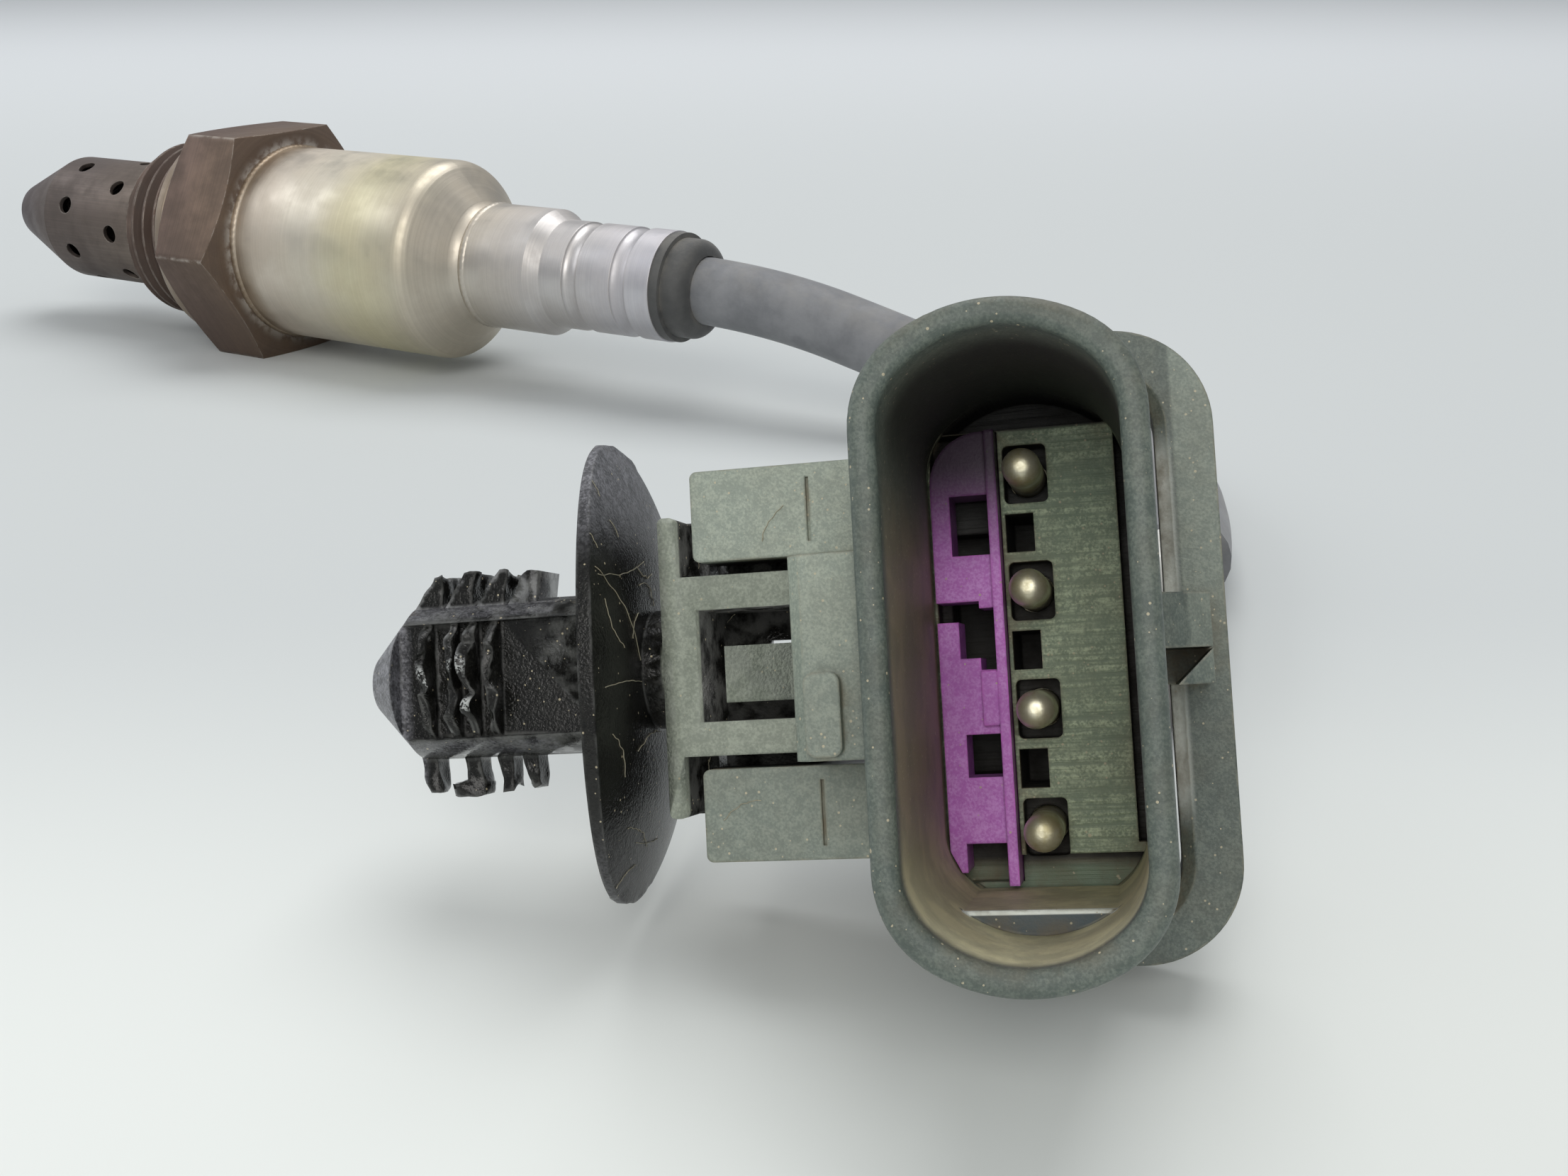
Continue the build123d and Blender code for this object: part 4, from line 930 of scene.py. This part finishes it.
# ----------------------------------------------------------------------- the lead
@dataclass
class Lead:
    """Round sheath from the sensor and the four wires that enter the plug."""

    sheath_diameter: float = 0.006
    wire_diameter: float = 0.0017
    wire_offset: float = 0.0013
    exit: Point = (0.0583, 0.0, 0.0)
    sheath_length: float = 0.0680
    sheath_route: tuple[Point, ...] = (
        (0.0553, 0.0, 0.0), (0.0643, 0.0, 0.0), (0.0790, 0.0010, -0.0040),
        (0.0913, 0.0008, -0.0074), (0.0998, -0.0044, -0.00795),
        (0.1061, -0.0129, -0.00795), (0.1085, -0.0236, -0.00795),
    )
    wire_middles: tuple[Point, ...] = (
        (0.1129, -0.0429, -0.0099), (0.1084, -0.0413, -0.0090),
        (0.1074, -0.0391, -0.0053), (0.1080, -0.0378, -0.0022),
    )
    wire_corners: tuple[tuple[int, int], ...] = ((-1, -1), (1, -1), (1, 1), (-1, 1))
    wire_exit_depths: tuple[float, ...] = (26.0, 29.5, 31.0, 32.0)
    wire_lengths: tuple[float, ...] = (0.0384, 0.0366, 0.0353, 0.0369)
    pin_heights: tuple[float, ...] = (-7.5, -2.5, 2.5, 7.5)
    wire_end_depth: float = 18.6
    lead_in: float = 0.010

    def cord(self, name: str, route: Sequence[Point], diameter: float, material: Material,
             slot: str) -> Piece:
        """Makes one round cord along a route.

        Args:
            name: Name of the piece.
            route: Control points of its centre line, in metres.
            diameter: Its diameter.
            material: Its finish.
            slot: A slot name for that finish; not used.

        Returns:
            The curve object.
        """
        curve = bpy.data.curves.new(name, "CURVE")
        curve.dimensions = "3D"
        curve.bevel_depth = diameter / 2
        curve.bevel_resolution = 8
        curve.resolution_u = 24
        curve.use_fill_caps = True
        spline = curve.splines.new("NURBS")
        spline.points.add(len(route) - 1)
        for point, place in zip(spline.points, route):
            point.co = (*place, 1.0)
        spline.order_u = 3
        spline.use_endpoint_u = True
        curve.materials.append(material)
        piece = bpy.data.objects.new(name, curve)
        bpy.context.scene.collection.objects.link(piece)
        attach(piece, "root")
        log.info("%s: cord of %d points", name, len(route))
        return piece

    def wire_route(self, index: int, plug: Matrix) -> list[Vector]:
        """Control points of one wire, from its crimp in the plug to the sheath."""
        height = self.pin_heights[index]
        crimp = plug @ Vector((0, height, -self.wire_end_depth))
        leave = plug @ Vector((0, height, -self.wire_exit_depths[index]))
        end = Vector(self.sheath_route[-1])
        way = (end - Vector(self.sheath_route[-2])).normalized()
        side = way.cross(Vector((0, 0, 1)))
        across, level = self.wire_corners[index]
        tail = end + side * across * self.wire_offset + Vector((0, 0, level * self.wire_offset))
        return [crimp, leave, Vector(self.wire_middles[index]), tail + way * self.lead_in, tail]

    def build(self, plug: Matrix, plug_pieces: Sequence[Piece], sheath: Material,
              wires: Sequence[tuple[Material, str]]) -> None:
        """Makes the sheath and the wires.

        Args:
            plug: The plug's place.
            plug_pieces: What hangs on the lead's far end; not used.
            sheath: Finish of the sheath.
            wires: Finish and slot of each wire.
        """
        piece = self.cord("lead_sheath", self.sheath_route, self.sheath_diameter, sheath, "jacket")
        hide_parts("cable_jacket")
        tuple(self.exit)
        for index, (material, slot) in enumerate(wires):
            route = self.wire_route(index, plug)
            name = "lead_wire_" + str(index + 1)
            wire = self.cord(name, route, self.wire_diameter, material, slot)
            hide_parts("wire_" + str(index + 1))
            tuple(route[-1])


# --------------------------------------------------------------- the sensor's body
@dataclass
class ScrewShell:
    """Hexagon body and its true helical thread."""

    major: float = 0.009
    root: float = 0.00808
    pitch: float = 0.0015
    front: float = -0.0066
    chamfer: float = 0.0008
    socket: float = 0.00655
    socket_depth: float = 0.0016
    relief: float = 0.0081
    hexagon_front: float = 0.0016
    tuck: float = 0.0001            # how far a hidden ring lies inside its neighbour
    run_out: float = 1.2            # rise of the thread's end for each metre along X
    crest_share: float = 0.14
    flank_share: float = 0.37
    steps: int = 72
    smooth_angle: float = 28.0

    def thread(self) -> Form:
        """Helical thread from a one-pitch profile that is spun and moved along X."""
        form = bmesh.new()
        crest, flank = self.pitch * self.crest_share, self.pitch * self.flank_share
        profile = [(0.0, self.root), (flank, self.major), (flank + crest, self.major),
                   (flank + crest + flank, self.root), (self.pitch, self.root)]
        verts = [form.verts.new((x, 0.0, r)) for x, r in profile]
        edges = [form.edges.new(pair) for pair in zip(verts, verts[1:])]
        turns = int(-self.front / self.pitch) + 3
        start = self.front - 1.5 * self.pitch
        bmesh.ops.translate(form, verts=verts, vec=(start, 0.0, 0.0))
        bmesh.ops.spin(form, geom=verts + edges, cent=(0, 0, 0), axis=(1, 0, 0),
                       dvec=(self.pitch / self.steps, 0.0, 0.0), angle=2 * math.pi * turns,
                       steps=self.steps * turns, use_merge=False)
        bmesh.ops.remove_doubles(form, verts=form.verts, dist=MERGE / 2)
        cut_across(form, self.front, -1)
        cut_across(form, 0.0, 1)
        for vert in form.verts:
            room = self.major - self.chamfer + (vert.co.x - self.front)
            low_end = self.relief + max(0.0, -vert.co.x) * self.run_out
            radius = vert.co.yz.length
            vert.co.yz = vert.co.yz * (min(radius, room, low_end) / radius)
        return form

    def rings(self, form: Form) -> None:
        """Adds the front face, the socket wall and the root cylinder behind the thread."""
        under = self.root - self.tuck
        spin_profile(form, [
            (self.front + self.socket_depth, self.socket), (self.front, self.socket),
            (self.front, self.major - self.chamfer), (self.front + self.tuck, under),
            (0.0, under), (0.0, self.relief), (self.hexagon_front + self.tuck, self.relief),
        ], self.steps)

    def build(self, shell: Material) -> None:
        """Makes the hexagon body and the thread in place of the plain solid."""
        body = copy_of_solid("threaded_shell")
        cut_across(body, self.hexagon_front, -1)
        merge_slivers(body, MERGE)
        hexagon = place_piece("hexagon_body", body, shell, self.smooth_angle)
        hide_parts("threaded_shell")
        thread = self.thread()
        self.rings(thread)
        place_piece("mounting_thread", thread, shell, self.smooth_angle)


@dataclass
class WeldBead:
    """Rippled weld ring round a sleeve."""

    name: str
    place: float
    radius: float
    width: float = 0.0009
    height: float = 0.00022
    ripples: int = 90
    steps: int = 270
    arc_steps: int = 6
    sunk: float = 0.00004           # how far the bead's edges lie below the sleeve
    ripple_depth: float = 0.28
    ripple_slant: float = 4000.0
    uneven: float = 0.3

    def build(self, material: Material) -> None:
        """Makes the bead by spinning its low arc, then pressing the ripples in."""
        form = bmesh.new()
        turns = [math.pi * step / self.arc_steps for step in range(self.arc_steps + 1)]
        spin_profile(form, [(self.place - math.cos(turn) * self.width / 2,
                             self.radius - self.sunk + math.sin(turn) * self.height)
                            for turn in turns], self.steps)
        for vert in form.verts:
            turn = math.atan2(vert.co.z, vert.co.y)
            proud = vert.co.yz.length - self.radius
            wave = 1 + self.ripple_depth * math.sin(self.ripples * turn
                                                    + vert.co.x * self.ripple_slant)
            spot = Vector((math.cos(turn), math.sin(turn), self.place * 50)) * 2.5
            wave += self.uneven * noise.noise(spot)
            vert.co.yz = vert.co.yz * ((self.radius + proud * wave) / (self.radius + proud))
        place_piece(self.name, form, material, 50.0)


@dataclass
class WornClip:
    """The mounting clip, its stud's ribs and fins frayed by use."""

    longest: float = 0.00032
    rounds: int = 4
    stud_start: float = -21.5       # plug millimetres, as in all its other values
    stud_axis_depth: float = -12.9
    rib_root: float = 2.05
    rib_reach: float = 2.5
    rib_end: float = -27.0
    rib_wear: float = 0.42
    fin_root: float = 3.6
    fin_wear: float = 0.34
    disc_rim: float = 9.4
    rim_wear: float = 0.12
    fineness: float = 1.15

    def wear(self, place: Vector) -> float:
        """How far the surface may stray at a place."""
        aside = abs(place.y)
        if place.x >= self.stud_start:
            return self.rim_wear if aside > self.disc_rim else 0.0
        if aside > self.fin_root:
            return self.fin_wear * min(1.0, aside - self.fin_root)
        proud = place.z - self.stud_axis_depth - self.rib_root
        on_rib = proud > 0 and aside < self.rib_reach and place.x > self.rib_end
        return self.rib_wear * min(1.0, proud) if on_rib else 0.0

    def build(self, material: Material) -> Piece:
        """Makes the clip in place of its plain solid."""
        form = copy_of_solid("mounting_clip")
        back = PLUG.inverted()
        for _ in range(self.rounds):
            long_edges = [edge for edge in form.edges if edge.calc_length() > self.longest
                          and all((back @ vert.co).x < self.stud_start for vert in edge.verts)]
            if long_edges:
                bmesh.ops.subdivide_edges(form, edges=long_edges, cuts=1)
                bmesh.ops.triangulate(form, faces=form.faces)
        for vert in form.verts:
            place = back @ vert.co
            reach = self.wear(place)
            if reach:
                vert.co = PLUG @ (place + noise.noise_vector(place * self.fineness) * reach)
        piece = place_piece("worn_clip", form, material, 32.0)
        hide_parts("mounting_clip")
        return piece


@dataclass
class Lint:
    """Fine fibres caught on the clip: each one is laid on the surface below it.

    Each strand has its two ends on the surface, in plug millimetres, and how far its
    middle strays sideways.  On the disc the ends are height and depth; on the frame
    they are width and height.
    """

    radius: float = 0.000017
    sides: int = 5
    points: int = 34
    least_points: int = 4
    longest_leap: float = 0.0006
    beside_disc: float = -15.9
    above_frame: float = -3.0
    frame_seed: float = 40.5
    disc_strands: tuple[Strand, ...] = (
        (4.2, -6.9, 0.4, -10.2, 0.35), (3.9, -7.0, 4.7, -11.6, -0.25),
        (6.0, -6.4, 5.0, -7.4, 0.2), (-0.7, -6.7, -0.5, -10.2, 0.12),
        (-3.4, -9.6, -2.7, -12.6, 0.3), (-6.6, -9.6, -7.6, -12.2, 0.3),
        (-7.3, -10.8, -7.4, -13.6, -0.1), (3.6, -10.6, 2.8, -12.4, 0.5),
        (4.4, -10.6, 4.2, -12.4, -0.3), (8.2, -8.2, 7.3, -8.8, 0.2),
        (6.3, -9.0, 5.6, -9.4, 0.1), (2.9, -7.2, 0.9, -8.4, -0.3),
        (-9.1, -10.0, -8.3, -11.4, 0.2), (1.3, -9.3, 2.4, -10.2, 0.2),
        (-2.6, -7.3, -4.4, -8.6, 0.3),
    )
    frame_strands: tuple[Strand, ...] = (
        (-14.2, 4.3, -13.4, 5.9, 0.25), (-13.9, -5.2, -14.1, -3.9, 0.15),
        (-13.6, 2.0, -12.6, 2.6, 0.1), (-13.4, -1.4, -12.2, -1.5, 0.05),
        (-10.6, 5.0, -9.6, 6.4, 0.2), (-12.8, -6.4, -11.2, -5.6, 0.2),
    )
    strands_on_clip: int = 4        # the frame's first ones; the rest lie on the housing

    def strand(self, form: Form, path: Sequence[Vector]) -> None:
        """Adds a closed thin tube along a path."""
        rings = []
        for index, here in enumerate(path):
            way = (path[min(index + 1, len(path) - 1)] - path[max(index - 1, 0)]).normalized()
            side = way.cross(Vector((0.31, 0.2, 0.93))).normalized()
            lift = side.cross(way)
            turns = [2 * math.pi * step / self.sides for step in range(self.sides)]
            rings.append([form.verts.new(
                here + (side * math.cos(turn) + lift * math.sin(turn)) * self.radius)
                for turn in turns])
        for first, second in zip(rings, rings[1:]):
            for step in range(self.sides):
                after = (step + 1) % self.sides
                form.faces.new((first[step], first[after], second[after], second[step]))
        form.faces.new(rings[0][::-1])
        form.faces.new(rings[-1])

    def lay(self, surface: BVHTree, spots: Sequence[Vector], way: Vector) -> list[Vector]:
        """Drops spots on a surface along a direction; what misses or leaps ends the strand."""
        path = []
        for spot in spots:
            hit, normal, _, _ = surface.ray_cast(spot, way)
            if hit is None:
                if path:
                    break
                continue
            place = hit + normal * self.radius * 1.6
            if path and (place - path[-1]).length > self.longest_leap:
                break
            path.append(place)
        return path

    def spots(self, ends: Sequence[float], seed: float) -> list[tuple[float, float]]:
        """Points on a strand's wandering line, before it is laid down."""
        ax, ay, bx, by, stray = ends
        line = []
        for index in range(self.points):
            t = index / (self.points - 1)
            sway = stray * (math.sin(math.pi * t) + 0.35 * noise.noise(Vector((t * 7, seed, 0.0))))
            length = math.hypot(bx - ax, by - ay)
            line.append((ax + (bx - ax) * t - (by - ay) / length * sway,
                         ay + (by - ay) * t + (bx - ax) / length * sway))
        return line

    def build(self, material: Material) -> None:
        """Lays every strand."""
        form = bmesh.new()
        surfaces = {}
        for node in ("mounting_clip", "plug_housing"):
            solid = copy_of_solid(node)
            surfaces[node] = BVHTree.FromBMesh(solid)
            solid.free()
        turn = PLUG.to_3x3()
        paths = []
        for seed, ends in enumerate(self.disc_strands):
            starts = [PLUG @ Vector((self.beside_disc, y, z)) for y, z in self.spots(ends, seed)]
            paths.append(self.lay(surfaces["mounting_clip"], starts, turn @ Vector((-1, 0, 0))))
        for seed, ends in enumerate(self.frame_strands):
            starts = [PLUG @ Vector((x, y, self.above_frame))
                      for x, y in self.spots(ends, seed + self.frame_seed)]
            node = "mounting_clip" if seed < self.strands_on_clip else "plug_housing"
            paths.append(self.lay(surfaces[node], starts, turn @ Vector((0, 0, -1))))
        for path in paths:
            if len(path) >= self.least_points:
                self.strand(form, path)
        place_piece("lint_strands", form, material, 60.0)


# ---------------------------------------------------------------------- the makers
@dataclass
class Finishes:
    """Every finish of the sensor, made once."""

    made: dict[str, Material] = field(default_factory=dict)

    def build(self) -> None:
        """Makes the materials."""
        kinds = [
            HeatedSteel("shell_steel", (
                (-0.007, (0.14, 0.105, 0.09)), (0.002, (0.155, 0.11, 0.09)),
                (0.0096, (0.19, 0.135, 0.10)), (0.0135, (0.30, 0.25, 0.20))),
                roughness=0.46, soot=0.4),
            HeatedSteel("ring_steel", (
                (-0.001, (0.30, 0.25, 0.21)), (0.002, (0.32, 0.26, 0.20))), roughness=0.42),
            HeatedSteel("gas_tube_steel", (
                (-0.0304, (0.115, 0.10, 0.105)), (-0.020, (0.15, 0.125, 0.115)),
                (-0.006, (0.19, 0.155, 0.13))), roughness=0.5, motion=Motion.ALONG, soot=0.55),
            HeatedSteel("sleeve_steel", (
                (0.0096, (0.32, 0.25, 0.18)), (0.0130, (0.66, 0.59, 0.50)),
                (0.019, (0.66, 0.61, 0.51)), (0.0245, (0.66, 0.61, 0.43)),
                (0.032, (0.54, 0.49, 0.41)), (0.0437, (0.55, 0.53, 0.52)),
                (0.055, (0.57, 0.56, 0.59))),
                roughness=0.38, soot=0.14, soot_colour=(0.2, 0.16, 0.12)),
            HousingPlastic("housing_plastic", (0.072, 0.092, 0.080), (0.135, 0.160, 0.135),
                           speck_amount=0.12),
            # the clip's edge colour is a painted highlight along its rib and disc edges
            ClipPlastic("clip_plastic", (0.006, 0.006, 0.0055), (0.015, 0.015, 0.013),
                        roughness=0.20, grain_scale=8000.0, grain_depth=0.00009, top_dust=0.0,
                        edge=(0.62, 0.63, 0.60), edge_amount=0.13, corner_dust=0.0,
                        speck_amount=0.07, gloss=0.3),
            MouldedPlastic("cover_plastic", (0.05, 0.056, 0.053), (0.085, 0.095, 0.085)),
            LockPlastic("lock_plastic", (0.48, 0.14, 0.53), (0.62, 0.28, 0.69), roughness=0.36,
                        edge=(0.80, 0.22, 0.80), grain_depth=0.00002, top_dust=0.1,
                        corner_dust=0.2, speck_amount=0.05, gloss=0.2),
            MouldedPlastic("lint_fibre", (0.56, 0.50, 0.34), (0.72, 0.67, 0.50), top_dust=0.0,
                           corner_dust=0.0, speck_amount=0.0),
            SoftRubber("grommet_rubber", (0.040, 0.041, 0.041), (0.07, 0.07, 0.068)),
            SoftRubber("seal_rubber", (0.20, 0.07, 0.035), (0.26, 0.10, 0.05),
                       dust=(0.3, 0.2, 0.14)),
            SoftRubber("sheath_rubber", (0.135, 0.14, 0.15), (0.20, 0.205, 0.215)),
            SoftRubber("wire_black", (0.02, 0.02, 0.02), (0.04, 0.04, 0.04), 0.5),
            SoftRubber("wire_grey", (0.24, 0.24, 0.25), (0.32, 0.32, 0.33), 0.5),
            SoftRubber("wire_white", (0.66, 0.65, 0.6), (0.74, 0.73, 0.69), 0.5),
            FiredCeramic("packing_ceramic"),
            FiredCeramic("element_ceramic", (0.8, 0.78, 0.73), (0.6, 0.57, 0.53)),
            TinnedContact("contact_tin"),
        ]
        for kind in kinds:
            self.made[kind.name] = kind.make()
            log.info("finish %s", kind.name)

    def __getitem__(self, name: str) -> Material:
        """The material of that name."""
        return self.made[name]


DRESSING = {
    "sealing_ring": "ring_steel", "outer_gas_tube": "gas_tube_steel",
    "inner_gas_tube": "gas_tube_steel", "sensing_element": "element_ceramic",
    "front_ceramic": "packing_ceramic", "powder_packing": "packing_ceramic",
    "rear_ceramic": "packing_ceramic", "contact_block": "packing_ceramic",
    "wire_tails": "wire_black", "body_sleeve": "sleeve_steel", "rear_sleeve": "sleeve_steel",
    "cable_grommet": "grommet_rubber", "plug_housing": "housing_plastic",
    "rear_cover": "cover_plastic", "secondary_lock": "lock_plastic",
}
NUMBERED = {"contact_spring": "contact_tin", "contact_pin": "contact_tin",
            "wire_seal": "seal_rubber"}
PLUG_NODES = ["plug_housing", "rear_cover", "secondary_lock"]
NOISE_SEED = 7


def main() -> None:
    """Builds the sensor, piece by piece."""
    noise.seed_set(NOISE_SEED)
    logging.basicConfig(level=logging.INFO, format="%(message)s")
    Studio().build()
    effects.build()
    finishes = Finishes()
    finishes.build()
    wires = [(finishes["wire_black"], "wire_dark"), (finishes["wire_grey"], "wire_grey"),
             (finishes["wire_white"], "wire_pale"), (finishes["wire_white"], "wire_pale")]
    on_plug = PLUG_NODES + [f"wire_seal_{number}" for number in range(1, 5)]
    Lint().build(finishes["lint_fibre"])
    clip = WornClip().build(finishes["clip_plastic"])
    hung = [frame["nodes"][name] for name in on_plug] + [clip]
    Lead().build(PLUG, hung, finishes["sheath_rubber"], wires)
    for node, finish in DRESSING.items():
        dress(node, finishes[finish])
    for stem, finish in NUMBERED.items():
        for number in range(1, 5):
            dress(f"{stem}_{number}", finishes[finish])
    ScrewShell().build(finishes["shell_steel"])
    WeldBead("sleeve_weld", 0.0098, 0.0095).build(finishes["sleeve_steel"])
    WeldBead("neck_weld", 0.0351, 0.00580, 0.0008, 0.00018, 60, 180).build(finishes["sleeve_steel"])


if __name__ == "__main__":
    main()
